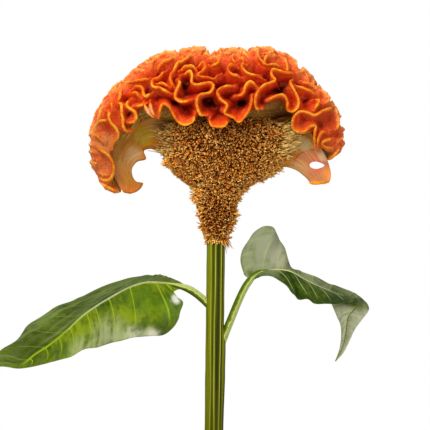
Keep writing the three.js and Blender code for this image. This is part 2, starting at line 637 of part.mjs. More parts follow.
const plant = new THREE.Group();
plant.add(piece('stem', toGeometry(stemSolid), stemMaterial));
const leftLeaf = leafSolid(LEFT_LEAF, LEFT_STALK, LEFT_STALK_RADIUS);
plant.add(piece('leaf_left', toGeometry(leftLeaf), leafMaterial));
const rightLeaf = leafSolid(RIGHT_LEAF, RIGHT_STALK, RIGHT_STALK_RADIUS);
plant.add(piece('leaf_right', toGeometry(rightLeaf), leafMaterial));
plant.add(piece('florets', toGeometry(largestBody(floretSolid)), floretMaterial));
plant.add(piece('crest', toGeometry(crestSolid()), crestMaterial));

const pottedCockscomb = new THREE.Group();
pottedCockscomb.add(piece('pot', potGeometry(), clayMaterial));
pottedCockscomb.add(piece('soil', soilGeometry(), soilMaterial));
pottedCockscomb.add(plant);

export default pottedCockscomb;
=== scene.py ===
# %% [markdown]
# # A crested cockscomb in a clay pot
# This lesson dresses a finished CAD model of one potted plant. The plant has a broad folded comb,
# a neck covered with dry golden florets, a ribbed green stem and two leaves. It stands in soil in
# a plain clay pot. The CAD model is the frame: it gives every place and every size, and each
# piece made here stands where its solid stands.

import math

import bmesh
import bpy
import numpy as np
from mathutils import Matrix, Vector
from mathutils.kdtree import KDTree


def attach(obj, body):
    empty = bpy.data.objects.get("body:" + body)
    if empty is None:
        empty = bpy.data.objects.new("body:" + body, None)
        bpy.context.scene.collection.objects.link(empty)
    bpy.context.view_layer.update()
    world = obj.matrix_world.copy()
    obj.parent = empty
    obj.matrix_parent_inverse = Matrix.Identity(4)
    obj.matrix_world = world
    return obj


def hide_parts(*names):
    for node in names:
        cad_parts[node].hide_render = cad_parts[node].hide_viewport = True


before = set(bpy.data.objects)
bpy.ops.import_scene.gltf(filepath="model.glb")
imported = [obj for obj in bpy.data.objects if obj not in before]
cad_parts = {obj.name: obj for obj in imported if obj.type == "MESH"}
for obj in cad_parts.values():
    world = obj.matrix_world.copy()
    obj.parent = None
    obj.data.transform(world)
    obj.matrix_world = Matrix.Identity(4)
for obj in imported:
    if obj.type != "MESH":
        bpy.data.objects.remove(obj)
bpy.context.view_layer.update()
print("CAD nodes:", sorted(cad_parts))

# %% [markdown]
# ## Camera
# The photograph looks straight at the plant, level with the upper part of the stem, from about a
# metre away. It cuts the stem off above the pot, so the pot lies below the picture's lower edge.
# Blender counts in metres. This lesson writes sizes in millimetres, and MM turns them into metres.

# %% Camera
MM = 0.001
CAMERA_DISTANCE = 1000
VIEW_HEIGHT = 229.5
VIEW_HALF_WIDTH = 107.5


def add_object(name, data):
    made = bpy.data.objects.new(name, data)
    bpy.context.scene.collection.objects.link(made)
    return made


camera_data = bpy.data.cameras.new("camera")
camera_data.sensor_fit = "HORIZONTAL"
camera_data.angle = 2 * math.atan(VIEW_HALF_WIDTH / CAMERA_DISTANCE)
camera = add_object("camera", camera_data)
camera.location = (0, -CAMERA_DISTANCE * MM, VIEW_HEIGHT * MM)
camera.rotation_euler = (math.pi / 2, 0, 0)
bpy.context.scene.camera = camera
print("camera angle in degrees:", round(math.degrees(camera_data.angle), 2))

# %% [markdown]
# ## Light and floor
# The plant stands on white in plain studio light: a soft light above and in front, a weaker one
# from the other side, and a white surround that keeps the shadows open. The camera sees the
# surround as pure white, while the plant is lit by little more than half of it.

# %% Light and floor
SURROUND = 0.55
FLOOR_RADIUS = 0.6

world = bpy.data.worlds.new("studio")
world.use_nodes = True
bpy.context.scene.world = world
bpy.context.scene.view_settings.view_transform = "Standard"
studio = world.node_tree
backdrop = studio.nodes["Background"]
backdrop.inputs["Color"].default_value = (1, 1, 1, 1)
seen_directly = studio.nodes.new("ShaderNodeLightPath")
strength = studio.nodes.new("ShaderNodeMapRange")
strength.inputs["To Min"].default_value = SURROUND
strength.inputs["To Max"].default_value = 1.0
studio.links.new(seen_directly.outputs["Is Camera Ray"], strength.inputs["Value"])
studio.links.new(strength.outputs["Result"], backdrop.inputs["Strength"])


def soft_light(name, place, aim, size, power):
    """A square light that shines from a place at its aim, in metres and watts."""
    light_data = bpy.data.lights.new(name, "AREA")
    light_data.shape = "SQUARE"
    light_data.size = size
    light_data.energy = power
    light = add_object(name, light_data)
    light.location = place
    light.rotation_euler = (Vector(aim) - Vector(place)).to_track_quat("-Z", "Y").to_euler()


soft_light("key", (-0.35, -0.6, 0.85), (0, 0, 0.26), 0.4, 9)
soft_light("fill", (0.7, -0.7, 0.35), (0, 0, 0.24), 0.6, 2)

floor_mesh = bpy.data.meshes.new("floor")
floor_bm = bmesh.new()
bmesh.ops.create_circle(floor_bm, cap_ends=True, segments=96, radius=FLOOR_RADIUS)
floor_bm.to_mesh(floor_mesh)
floor_bm.free()
floor = add_object("floor", floor_mesh)

# %% [markdown]
# ## Helpers for curves
# Nearly every part of this plant is a sheet: folds, webs, leaves and bracts. A sheet is worked out
# as rows of points along curves, and the random lines are the same each time the lesson runs.

# %% Helpers for curves
def smooth_curve(points, samples):
    """Points along a centripetal Catmull-Rom curve through hand-placed points."""
    points = np.asarray(points, float)
    padded = np.vstack([2 * points[0] - points[1], points, 2 * points[-1] - points[-2]])
    place = np.linspace(0, len(points) - 1, samples)
    start = np.minimum(place.astype(int), len(points) - 2)
    share = (place - start)[:, None]
    p0, p1, p2, p3 = (padded[start + i] for i in range(4))
    d0, d1, d2 = (
        np.maximum(np.linalg.norm(b - a, axis=1), 1e-9)[:, None] ** 0.5
        for a, b in ((p0, p1), (p1, p2), (p2, p3))
    )
    out = ((p1 - p0) / d0 - (p2 - p0) / (d0 + d1) + (p2 - p1) / d1) * d1
    into = ((p2 - p1) / d1 - (p3 - p1) / (d1 + d2) + (p3 - p2) / d2) * d1
    cubic = 2 * p1 - 2 * p2 + out + into
    square = -3 * p1 + 3 * p2 - 2 * out - into
    return p1 + out * share + square * share**2 + cubic * share**3


def length_along(points):
    """How far along its path each point lies."""
    return np.concatenate([[0], np.cumsum(np.linalg.norm(np.diff(points, axis=0), axis=1))])


def evenly_spaced(points, step):
    """The same path with its points a fixed step apart, and how far along each one lies."""
    along = length_along(points)
    wanted = np.linspace(0, along[-1], max(3, round(along[-1] / step) + 1))
    return np.stack([np.interp(wanted, along, column) for column in points.T], axis=1), wanted


def points_from(*coordinates):
    """Points in one array, from their separate coordinates."""
    return np.stack(np.broadcast_arrays(*coordinates), axis=-1)


def unit(vectors):
    """The same directions, each with a length of one."""
    return vectors / np.maximum(np.linalg.norm(vectors, axis=-1, keepdims=True), 1e-9)


def soften(values, width):
    """Values along a path, averaged over a bell of that many steps each way."""
    reach = max(1, int(3 * width))
    bell = np.exp(-0.5 * (np.arange(-reach, reach + 1) / max(width, 1e-6)) ** 2)
    bell /= bell.sum()
    return np.convolve(np.pad(values, reach, mode="edge"), bell, mode="valid")


def smoothstep(low, high, value):
    """0 at low, 1 at high, and smooth between. Low may be the larger one."""
    share = np.clip((value - low) / (high - low), 0, 1)
    return share * share * (3 - 2 * share)


def wander(draw, where, size):
    """A smooth random line from -1 to 1, with a new value every size."""
    where = np.asarray(where) / size
    values = draw.uniform(-1, 1, int(np.ceil(where.max())) + 3)
    whole = np.floor(where).astype(int)
    part = where - whole
    part = part * part * (3 - 2 * part)
    return values[whole] * (1 - part) + values[whole + 1] * part


# %% [markdown]
# ## Helpers for sheets
# A sheet starts as a flat grid, and its corners are then moved to the rows of points. What a
# finish needs to know, such as how far a corner lies from the rim, is kept as an attribute.

# %% Helpers for sheets
WELD = 1e-6


def start_mesh(*fact_names):
    bm = bmesh.new()
    for name in fact_names:
        bm.verts.layers.float.new(name)
    return bm


def add_sheet(bm, points, **facts):
    """Adds a grid whose corners lie at rows of points, in millimetres, with facts for its finish."""
    rows, columns = points.shape[:2]
    sheet = bmesh.ops.create_grid(bm, x_segments=columns - 1, y_segments=rows - 1, size=1)
    corners = sheet["verts"]
    for corner, place in zip(corners, points.reshape(-1, 3) * MM):
        corner.co = place
    for name, fact in facts.items():
        layer = bm.verts.layers.float[name]
        values = np.broadcast_to(fact, (rows, columns)).ravel()
        for corner, value in zip(corners, values):
            corner[layer] = value
    return corners


def weld(bm, fill=False):
    """Joins corners that lie on each other, and may close the open ends."""
    bmesh.ops.remove_doubles(bm, verts=bm.verts, dist=WELD)
    if fill:
        bmesh.ops.holes_fill(bm, edges=bm.edges, sides=0)


def turn_outwards(bm):
    bmesh.ops.recalc_face_normals(bm, faces=bm.faces)


def boundary(bm):
    return [edge for edge in bm.edges if edge.is_boundary]


def finish_piece(name, bm, material, nodes):
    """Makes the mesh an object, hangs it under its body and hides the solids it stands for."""
    mesh = bpy.data.meshes.new(name)
    bm.to_mesh(mesh)
    bm.free()
    mesh.shade_smooth()
    mesh.materials.append(material)
    piece = add_object(name, mesh)
    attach(piece, "root")
    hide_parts(*nodes)
    mesh.calc_loop_triangles()
    print(name, "has", len(mesh.loop_triangles), "triangles")


# %% [markdown]
# ## Helpers for finishes
# Each finish is a small tree of nodes on one shader. A value stands for what a node gives, and
# plain sums with values add the nodes that work them out.

# %% Helpers for finishes
def linear(red, green, blue):
    """A colour as it is seen, from 0 to 255, as the numbers that light is worked out with."""
    seen = np.array([red, green, blue]) / 255
    low = seen / 12.92
    high = ((seen + 0.055) / 1.055) ** 2.4
    return (*np.where(seen <= 0.04045, low, high).tolist(), 1.0)


def factors(red, green, blue):
    """Numbers to multiply a colour by."""
    return (red, green, blue, 1.0)


# %% What one node gives
class Value:
    """What one node gives at every point of a piece."""

    def __init__(self, finish, socket):
        self.finish = finish
        self.socket = socket

    def math(self, operation, other=0.0):
        return self.finish.node("ShaderNodeMath", {0: self, 1: other}, operation=operation)

    def __add__(self, other):
        return self.math("ADD", other)

    def __sub__(self, other):
        return self.math("SUBTRACT", other)

    def __rsub__(self, other):
        return self.finish.node("ShaderNodeMath", {0: other, 1: self}, operation="SUBTRACT")

    def __mul__(self, other):
        return self.math("MULTIPLY", other)

    def __abs__(self):
        return self.math("ABSOLUTE")

    def band(self, low, high):
        """0 below low, 1 above high, and smooth between."""
        sockets = {"Value": self, "From Min": low, "From Max": high}
        return self.finish.node("ShaderNodeMapRange", sockets, interpolation_type="SMOOTHSTEP")

    def ramp(self, *stops, kind=linear):
        """The colour at this value in a row of stops: position, red, green and blue of each."""
        colour = self.finish.node("ShaderNodeValToRGB", {0: self})
        elements = colour.socket.node.color_ramp.elements
        while len(elements) < len(stops):
            elements.new(0.5)
        for element, (position, *numbers) in zip(elements, stops):
            element.position = position
            element.color = kind(*numbers)
        return colour


# %% One material
class Finish:
    """One material, with short ways to add the nodes that feed its shader."""

    def __init__(self, name):
        self.material = bpy.data.materials.new(name)
        self.material.use_nodes = True
        self.tree = self.material.node_tree
        self.place = self.node("ShaderNodeTexCoord", output="Object")

    def feed(self, socket, value):
        if isinstance(value, Value):
            self.tree.links.new(value.socket, socket)
        else:
            socket.default_value = value

    def node(self, kind, sockets=None, output=0, **settings):
        """Adds a node, feeds its sockets, and gives one of its outputs."""
        node = self.tree.nodes.new(kind)
        for name, setting in settings.items():
            setattr(node, name, setting)
        for name, value in (sockets or {}).items():
            self.feed(node.inputs[name], value)
        return Value(self, node.outputs[output])

    def facts(self, *names):
        """Facts that the piece carries at its corners."""
        return [self.node("ShaderNodeAttribute", output="Fac", attribute_name=name) for name in names]

    def join(self, x, y, z=0.0):
        return self.node("ShaderNodeCombineXYZ", {0: x, 1: y, 2: z})

    def scaled(self, *scale):
        """The place in the piece, stretched along its three axes."""
        return self.node("ShaderNodeVectorMath", {0: self.place, 1: scale}, operation="MULTIPLY")

    def noise(self, where, scale, detail=3.0, rough=0.55):
        sockets = {"Vector": where, "Scale": scale, "Detail": detail, "Roughness": rough}
        return self.node("ShaderNodeTexNoise", sockets)

    def grain(self, scale, detail=3.0, rough=0.55):
        return self.noise(self.place, scale, detail, rough)

    def mix(self, share, first, second, blend="MIX"):
        sockets = {0: share, 6: first, 7: second}
        return self.node("ShaderNodeMix", sockets, 2, data_type="RGBA", blend_type=blend)

    def tint(self, share, colour, other):
        """A colour multiplied by another one, as far as the share says."""
        return self.mix(share, colour, other, "MULTIPLY")

    def spot(self, across, up, size):
        """1 at a place in the front view, in millimetres, and 0 beyond its size."""
        sockets = {0: self.scaled(1000, 0, 1000), 1: (across, 0, up)}
        away = self.node("ShaderNodeVectorMath", sockets, "Value", operation="DISTANCE")
        return 1 - away.band(0.2 * size, size)

    def inside(self, across, up, radius):
        """1 within a circle in the front view, in millimetres, with a sharp edge."""
        return self.spot(across, up, 2 * radius).band(0.66, 0.76)

    def dab(self, colour, spots, weight=1.0):
        """Spots in the front view: across, up, size, how strong, red, green and blue."""
        for across, up, size, strength, *numbers in spots:
            share = self.spot(across, up, size) * strength * weight
            colour = self.mix(share, colour, linear(*numbers))
        return colour

    def set(self, **sockets):
        shader = self.tree.nodes["Principled BSDF"]
        for name, value in sockets.items():
            self.feed(shader.inputs[name.replace("_", " ")], value)

    def bump(self, height, depth, strength=1.0):
        sockets = {"Height": height, "Distance": depth, "Strength": strength}
        self.set(Normal=self.node("ShaderNodeBump", sockets))


# %% [markdown]
# ## The comb's shape
# A cockscomb is one sheet whose edge grew far longer than its root, so it had to fold up. The
# folds stand on an arch. Each one is traced as a rim line seen from the front, and its wall runs
# from that rim down into the arch, where the line is much straighter. This difference makes each
# wall flare out like a trumpet, as on the real comb. Noise could fold a surface as well, but only
# traced lines put each fold where this comb has it.

# %% The arch under the comb
NECK_FOOT = 217
ARCH_SAMPLES = 4001
FACE_LIMIT = 0.97

# Across, reach to the front, and height above the neck's foot
ARCH = [
    [-47, 3, 24], [-51.3, 7, 30.5], [-52, 10, 38], [-52, 11.5, 48], [-46.5, 14.5, 59], [-37.5, 16.5, 66.5],
    [-24.5, 23.3, 70.5], [-12.5, 26.8, 69.8], [0.5, 26.3, 69], [15, 26.8, 69.5], [28.5, 24.5, 70.5],
    [39.5, 17.5, 66.5], [47.5, 15, 59], [53.5, 12.8, 49], [57, 7, 40],
]
arch = smooth_curve(ARCH, ARCH_SAMPLES)
arch_share = np.linspace(0, 1, ARCH_SAMPLES)
arch_tangent = unit(np.gradient(arch[:, [0, 2]], axis=0))
arch_outward = np.stack([-arch_tangent[:, 1], arch_tangent[:, 0]], axis=1)
arch_table = np.column_stack([arch[:, 0], arch[:, 2], arch[:, 1], arch_outward])


def comb_points(share, angle, reach_share):
    """Points round the arch: angle 0 faces the viewer and a quarter turn is on top."""
    across, up, reach, out_x, out_z = (np.interp(share, arch_share, column) for column in arch_table.T)
    radius = reach * reach_share
    lift = radius * np.sin(angle)
    return points_from(across + out_x * lift, -radius * np.cos(angle), NECK_FOOT + up + out_z * lift)


def face_to_comb(line):
    """Shares and angles of the comb that lie behind a line in the front view."""
    gap = np.hypot(line[:, :1] - arch[:, 0], line[:, 1:] - arch[:, 2])
    nearest = gap.argmin(axis=1)
    off = line - arch[nearest][:, [0, 2]]
    sine = (off * arch_outward[nearest]).sum(axis=1) / arch[nearest, 1]
    return arch_share[nearest], np.arcsin(np.clip(sine, -FACE_LIMIT, FACE_LIMIT))


# %% Rims of the folds, traced across from the stem's axis and up from the neck's foot
FACE_FOLDS = [
    # the left limb, from its tip upwards
    [[-59, 29], [-54, 26.5], [-48, 23]],
    [[-60, 46.2], [-56, 44.3], [-52.6, 42], [-50.1, 37.8], [-49.9, 33.7], [-51.7, 30.3], [-54.2, 29.4],
     [-58.5, 30.3]],
    [[-61.7, 52], [-60, 52.4], [-58.4, 52], [-57.4, 50.3], [-56, 48.5]],
    [[-54.3, 65.1], [-53, 63.3], [-52.4, 60], [-51.2, 57.7], [-49.2, 55.9], [-47.9, 54.2], [-47.4, 52],
     [-48, 50.2], [-49.8, 48.7], [-50.4, 46.7], [-50, 45]],
    [[-53, 60.2], [-55, 59.5], [-58.2, 59], [-59.8, 57.3], [-61, 56]],
    [[-59.2, 60.6], [-57.9, 62.8], [-57, 65.4], [-54.5, 68.4]],
    [[-52.5, 70.7], [-51.7, 68.7], [-51.5, 67], [-51.7, 64.8]],
    [[-53, 76.4], [-51.2, 78], [-49.4, 78.8], [-47.6, 78.4]],
    [[-46.4, 77.3], [-46.9, 74.8], [-46.9, 72.2], [-48.2, 69.9], [-49.7, 68.4]],
    [[-49.7, 68.4], [-47.7, 68.4], [-46.1, 67.4], [-45.9, 65], [-45.9, 62], [-45.2, 59.5], [-45.4, 56.9],
     [-44.6, 54.6], [-43.3, 53.4], [-40, 53.1]],
    [[-41.3, 70.2], [-43.1, 69.2], [-43.7, 67.4], [-43.1, 65.6], [-41.3, 64.6], [-39.5, 63.3],
     [-38.5, 61.5], [-38.6, 59.5], [-40.2, 58], [-42, 57.5], [-43.8, 58.2]],
    [[-40.5, 65.9], [-36.9, 66.3], [-33.4, 67.4]],
    [[-42.8, 74.8], [-40.5, 75.6], [-39, 76.3], [-36.7, 76.1], [-35.4, 74.8], [-35.4, 72.8],
     [-34.6, 70.8], [-33.6, 70.6], [-32.1, 72], [-30.6, 73]],
    [[-43.3, 73.5], [-41.3, 73], [-39.2, 73.3], [-38, 72.2], [-36.9, 70.7], [-35.9, 69.7]],
    [[-46.4, 79.4], [-43.8, 79.1], [-42, 78.6], [-39.5, 78.9], [-36.9, 79.4], [-33.1, 80.2],
     [-31.5, 81.5]],
    [[-39.5, 80], [-37.8, 80.9], [-36.8, 82.2]],
    [[-49, 76], [-45.5, 80], [-42.5, 83.5], [-38.5, 85], [-34.5, 85.5]],
    # the left half of the face
    [[-23.5, 84.8], [-25.2, 83.9], [-26, 82], [-27.8, 80], [-30.8, 79], [-31.2, 76.4], [-30, 75.1],
     [-27.2, 75.1], [-24.8, 73.6], [-21, 71.5]],
    [[-30.2, 77.6], [-28.5, 77.7], [-25, 77], [-21.5, 75]],
    [[-32.9, 86], [-30.8, 89.2], [-28.4, 91.7], [-25.6, 93], [-23.5, 94.2], [-20.2, 94.4], [-19, 93.4]],
    [[-18.6, 92.7], [-20, 91.6], [-21.7, 90.2], [-23.5, 89.4], [-25.8, 88.5], [-27.5, 86.5], [-29.5, 84]],
    [[-9.8, 93.7], [-11.5, 92.6], [-13.3, 90.6], [-15, 89.2], [-17.9, 88.1], [-19.4, 86], [-20.2, 83.5],
     [-21.8, 81.5], [-22, 79.4], [-20.7, 76.5], [-19, 75]],
    [[-18.6, 92.2], [-16, 91.6], [-14, 90.9]],
    [[-18, 84.2], [-16.2, 85.2], [-12.9, 85.8], [-9.5, 85.2], [-8.3, 83.8]],
    [[-18.5, 80.5], [-17, 77.5], [-19, 73], [-19.5, 69.5], [-16.5, 67.5], [-11, 68.5]],
    [[-32, 69], [-31.7, 67], [-31, 63.8], [-29.4, 60.6], [-27.7, 58.8]],
    [[-35.2, 68.5], [-34, 65], [-31.8, 61.6], [-28.6, 58.6]],
    [[-27.5, 58.6], [-27.2, 60.8], [-27, 63.3], [-26.2, 66.2], [-25, 67], [-22.5, 65.5], [-20.3, 61.5],
     [-18.5, 58], [-16, 56.6], [-13, 56.6], [-10.4, 58.4], [-9.6, 61.5]],
    [[-18.6, 92.7], [-17.5, 94.8], [-15.7, 95.7], [-12.2, 96.1], [-9.4, 96.4], [-7, 95.7], [-5, 93.7]],
    [[-7, 95.4], [-4.9, 93.2], [-2.4, 92.3], [-1, 91.4]],
    # the middle of the face
    [[-16.5, 82.5], [-12, 83], [-11, 80.5], [-11.5, 77], [-8.5, 76], [-3, 77.5], [-0.5, 76], [-2, 72.5],
     [-7.5, 71], [-9, 68], [-8, 62.5], [-6.5, 60.5], [-3.5, 60.2]],
    [[-2.5, 59.5], [-2.8, 57], [-1, 55.7], [3, 55.6], [6, 56.3], [6.6, 58.5]],
    [[-9.1, 86.4], [-7.7, 87.4], [-5.9, 87.4], [-4.5, 86], [-5, 84.3], [-7, 82.5], [-9, 81], [-4.5, 80],
     [0, 79], [1.5, 81.5], [3.5, 83.5]],
    [[-3.1, 88.1], [-0.3, 87.1], [1.8, 87.1], [2.1, 88.8], [0.4, 90.6], [-2.1, 91.1], [-3.8, 90.6]],
    [[10, 76.5], [3.5, 75], [1, 73], [2.5, 69], [6, 66], [4.5, 62], [7.3, 60.6], [9.6, 59.4], [11, 57.7],
     [13, 58.4], [15, 61], [16.7, 63.5], [17.8, 67], [18.2, 71.5]],
    [[10, 70.5], [13.5, 71.5], [15, 76], [17, 78], [19.5, 76.5], [21.5, 74]],
    [[12, 86.7], [8.5, 86.6], [6, 85], [6.7, 82.9], [9.2, 81.1], [14.4, 80.8]],
    [[16.5, 88.9], [12.8, 85.9], [14, 83.9], [16.7, 81.8], [20.5, 80.8], [25.1, 79.4]],
    [[-0.3, 94.2], [2.1, 95.6], [5, 96.3], [9.2, 96.2], [13.4, 95.6], [17, 94.4]],
    [[0.4, 92.3], [2.1, 93], [4.6, 93.4], [8.1, 93.7], [9.5, 95]],
    [[9.5, 93.4], [8.1, 91.3], [9.5, 88.8], [11.6, 88.4]],
    [[11.6, 93], [12.3, 91.3], [14.1, 89.9], [13.2, 88.2]],
    # the right half of the face
    [[18.1, 94.8], [20.5, 96.3], [24, 96.8], [27.5, 96.3], [29.6, 95.4], [32.5, 93.4], [36, 92],
     [39.1, 90.7], [40.9, 88.5], [41.2, 86]],
    [[30, 95], [26.8, 95.2], [23.5, 95.3], [21.3, 94.6], [20.9, 92.7], [21.7, 90], [23.3, 87.9],
     [25, 86.7], [29.6, 87], [33.5, 87]],
    [[24, 87.4], [24.2, 89.4], [25.6, 91], [28.2, 92], [31, 92.2], [33, 92]],
    [[34.2, 92.3], [35.3, 90.6], [35.6, 87.8], [36, 85.7], [36.7, 83.2]],
    [[40.5, 84], [37, 82.5], [31, 84], [28.4, 84.2], [27.3, 82.6], [27.8, 80.6], [29.8, 78.7],
     [26.8, 77.2], [24, 76.2], [21, 73], [19.7, 69.5], [19.4, 66.5], [20.5, 63.8], [23.5, 63.5]],
    [[25.5, 68], [29.5, 70.5], [33.5, 71.5], [35.5, 68], [35.5, 64], [38, 63], [41, 66], [41, 70],
     [38, 75.5], [37, 78.5], [39, 81]],
    [[43.6, 80.5], [45.1, 78.3], [48, 77.1], [50.5, 76], [52.5, 74]],
    [[41.2, 84], [43, 85.2], [45.4, 83.9], [47.2, 81.8], [49.2, 80.5], [49.8, 78]],
    [[51.5, 77.5], [55, 74.8], [57.2, 72], [57, 69.5], [54.5, 68]],
    [[49, 64], [50.4, 66.4], [51.8, 68.8], [51.3, 70.3], [49, 70.2]],
    [[58.5, 68.5], [61, 63.5], [62, 59], [60.5, 55], [57.5, 54.5]],
    [[60.3, 67.6], [58.4, 66.2], [56.7, 65.2], [53.9, 64.4], [52, 63], [49, 61.5], [45.5, 63],
     [41.5, 63.5], [38.5, 60.5], [38, 56], [40.5, 53.5], [44, 53.5], [47.5, 56.5], [50, 56.5], [49.4, 54],
     [49, 51], [49, 45.5]],
    [[50.5, 45.5], [51, 50.5], [53, 53.5], [57.5, 53]],
    [[59.5, 50.5], [54, 49], [52.5, 47.5], [54.5, 46], [59, 45.5]],
    [[63, 47], [61.5, 44.5], [56, 39]],
]

# Folds over the top: share of the arch, first and last angle in degrees, and sway
CROWN_FOLDS = [
    [0.14, 70, 110, 0.02], [0.24, 66, 118, -0.02], [0.33, 60, 116, 0.02], [0.42, 62, 114, -0.02],
    [0.51, 58, 120, 0.02], [0.6, 64, 118, -0.02], [0.69, 60, 116, 0.02], [0.78, 66, 114, -0.02],
    [0.87, 70, 110, 0.02],
]

# %% [markdown]
# The traced rims cover the face. The back has the long folds of the face again, turned end for
# end, and small folds that wander over the top and the back fill what is left.

# %% Long rims of the comb
RIM_STEP = 0.5
SAMPLES_A_POINT = 40
LONG_FOLD = 14
TOP_SWAY = 0.22
SWAY_LENGTH = 5
CROWN_LENGTH = 26
CROWN_POINTS = 60
EDGE_ROWS = 390
LOBE_REACH = 3
comb_draw = np.random.default_rng(11)
rims = []
for rim in FACE_FOLDS:
    line, along = evenly_spaced(smooth_curve(rim, SAMPLES_A_POINT * len(rim)), RIM_STEP)
    share, angle = face_to_comb(line)
    sway = 0.5 + 0.5 * wander(comb_draw, along, SWAY_LENGTH)
    angle = angle + TOP_SWAY * smoothstep(1.15, 1.32, angle) * sway
    rims.append((soften(share, 1), soften(angle, 1), along))
lowest_share = np.concatenate([share for share, _, _ in rims])
lowest_angle = np.concatenate([angle for _, angle, _ in rims])
rims += [(1 - share, math.pi - angle, along) for share, angle, along in rims if along[-1] > LONG_FOLD]
turn = np.linspace(0, 1, CROWN_POINTS)
for share, first, last, sway in CROWN_FOLDS:
    angle = np.radians(first + (last - first) * turn)
    rims.append((share + sway * np.sin(2 * np.pi * turn), angle, CROWN_LENGTH * turn))
print("long rims:", len(rims))


def lower_edge():
    """Angle of the lowest rim of the face at even steps along the arch, eased into round lobes."""
    row = np.round(lowest_share * (EDGE_ROWS - 1)).astype(int)
    edge = np.full(EDGE_ROWS, np.inf)
    np.minimum.at(edge, row, lowest_angle)
    known = np.isfinite(edge)
    edge = np.interp(np.arange(EDGE_ROWS), np.flatnonzero(known), edge[known])
    padded = np.pad(edge, LOBE_REACH, mode="edge")
    edge = np.min([padded[shift:shift + EDGE_ROWS] for shift in range(2 * LOBE_REACH + 1)], axis=0)
    return soften(edge, 1.2)


def rim_tree():
    """A search tree of all rim points, to find the rim that is nearest to a place."""
    tree = KDTree(sum(len(along) for _, _, along in rims))
    places = np.concatenate([comb_points(share, angle, 1.0) for share, angle, _ in rims])
    for row, place in enumerate(places):
        tree.insert(place, row)
    tree.balance()
    return tree


# %% [markdown]
# A small fold starts at a random place and grows step by step along a bending path. It stops
# where it would come too close to another fold, to an end of the arch or to the lower edge.

# %% Small folds of the comb
ATTEMPTS = 700
START_SHARE = (0.03, 0.97)
START_DEGREES = (35, 215)
PATH_STEPS = (10, 34)
SHORTEST_PATH = 9
FIRST_BEND = 0.05
NEW_BEND = 0.035
BEND_KEPT = 0.9
ROOM_FOR_A_FOLD = 2.7
END_ROOM = 0.02
EDGE_ROOM = 0.05
ARCH_LENGTH = 205
face_edge = lower_edge()
long_rims = rim_tree()
small = []
for attempt in range(ATTEMPTS):
    share = comb_draw.uniform(*START_SHARE)
    angle = math.radians(comb_draw.uniform(*START_DEGREES))
    heading = comb_draw.uniform(0, 2 * math.pi)
    bend = comb_draw.normal(0, FIRST_BEND)
    path = []
    for step in range(int(comb_draw.uniform(*PATH_STEPS))):
        here = comb_points(np.array([share]), np.array([angle]), 1.0)[0]
        crowd = long_rims.find(here)[2]
        others = min((np.linalg.norm(other - here, axis=1).min() for other in small), default=99)
        lowest = math.pi - face_edge[round((1 - share) * (EDGE_ROWS - 1)) % EDGE_ROWS]
        crowded = min(crowd, others) < ROOM_FOR_A_FOLD
        if crowded or not END_ROOM < share < 1 - END_ROOM or angle > lowest - EDGE_ROOM:
            break
        path.append((share, angle))
        bend = BEND_KEPT * bend + comb_draw.normal(0, NEW_BEND)
        heading += bend
        reach = np.interp(share, arch_share, arch[:, 1])
        share += RIM_STEP * math.cos(heading) / ARCH_LENGTH
        angle += RIM_STEP * math.sin(heading) / reach
    if len(path) > SHORTEST_PATH:
        share, angle = np.array(path).T
        small.append(comb_points(share, angle, 1.0))
        rims.append((share, angle, np.arange(len(path)) * RIM_STEP))
print("small folds:", len(small), "all folds:", len(rims))

# %% [markdown]
# A wall is a long grid. Its rows follow the rim, and its columns go up one flank, over the rounded
# rim and down the other flank. The rim is a soft bead with small irregular teeth. A point's depth
# is how far it lies below its rim, and a few listed hollows between the lobes count as deeper, so
# that they get the darker colour of depth as painted shade. A solidify modifier could thicken a
# plain sheet, but only evenly, and this wall changes from its bead to its root.

# %% Walls of the comb
FLARE = 5.5
FLARE_CURVE = 1.7
DOWN = np.array([0, 0.035, 0.09, 0.17, 0.3, 0.5, 0.75])
HALF_THICKNESS = np.array([0.34, 0.66, 0.76, 0.72, 0.64, 0.7, 0.9])
UNEVEN_THICKNESS = 0.15
BEAD = 0.9
TOP_TEETH = 0.7
END_SINK = 0.14
TOP_END_SINK = 0.45
ROOT_SINK = 0.04
UNDER_MIDDLE = 0.5
UNDER_END = 0.22
HOLLOW_SHADE = 5

# Teeth of the rim: height as a share of the comb's reach, and length
TEETH = ((0.012, 0.9), (0.016, 3.1))

# Hollows of the face, deeper and darkened by painted shade: across, up and size
HOLLOWS = [
    [-12.5, 87.5, 2.8], [-33.1, 75.3, 2.4], [-42, 62, 2.2], [9.9, 84.3, 2.4], [26.3, 82, 2.4],
    [35.3, 79.4, 3], [-3.5, 69, 2.6], [31, 75, 2.6], [53, 57, 2.4], [-14, 78.5, 2.6], [-28.5, 83, 2.2],
    [-46, 72, 2], [23.5, 90, 2], [47, 72, 2.2], [2, 77.5, 2], [14, 67, 2.4], [-20, 66, 2.2], [43, 78, 2],
]


def top_share(angle):
    """0 on the face and the back of the comb, and 1 over its top."""
    return smoothstep(0.75, 1.2, np.minimum(angle, math.pi - angle))


def under_share(share):
    """How far out the bare underside lies: the arch is thin at both ends."""
    return UNDER_END + (UNDER_MIDDLE - UNDER_END) * smoothstep(0.06, 0.3, np.minimum(share, 1 - share))


def hollow_share(points):
    """1 in the middle of a dark hollow of the face, and 0 away from all of them."""
    share = 0 * points[..., 0]
    for across, up, size in HOLLOWS:
        away = np.hypot(points[..., 0] - across, points[..., 2] - NECK_FOOT - up)
        share = np.maximum(share, np.exp(-((away / size) ** 2)) * (points[..., 1] < 0))
    return share


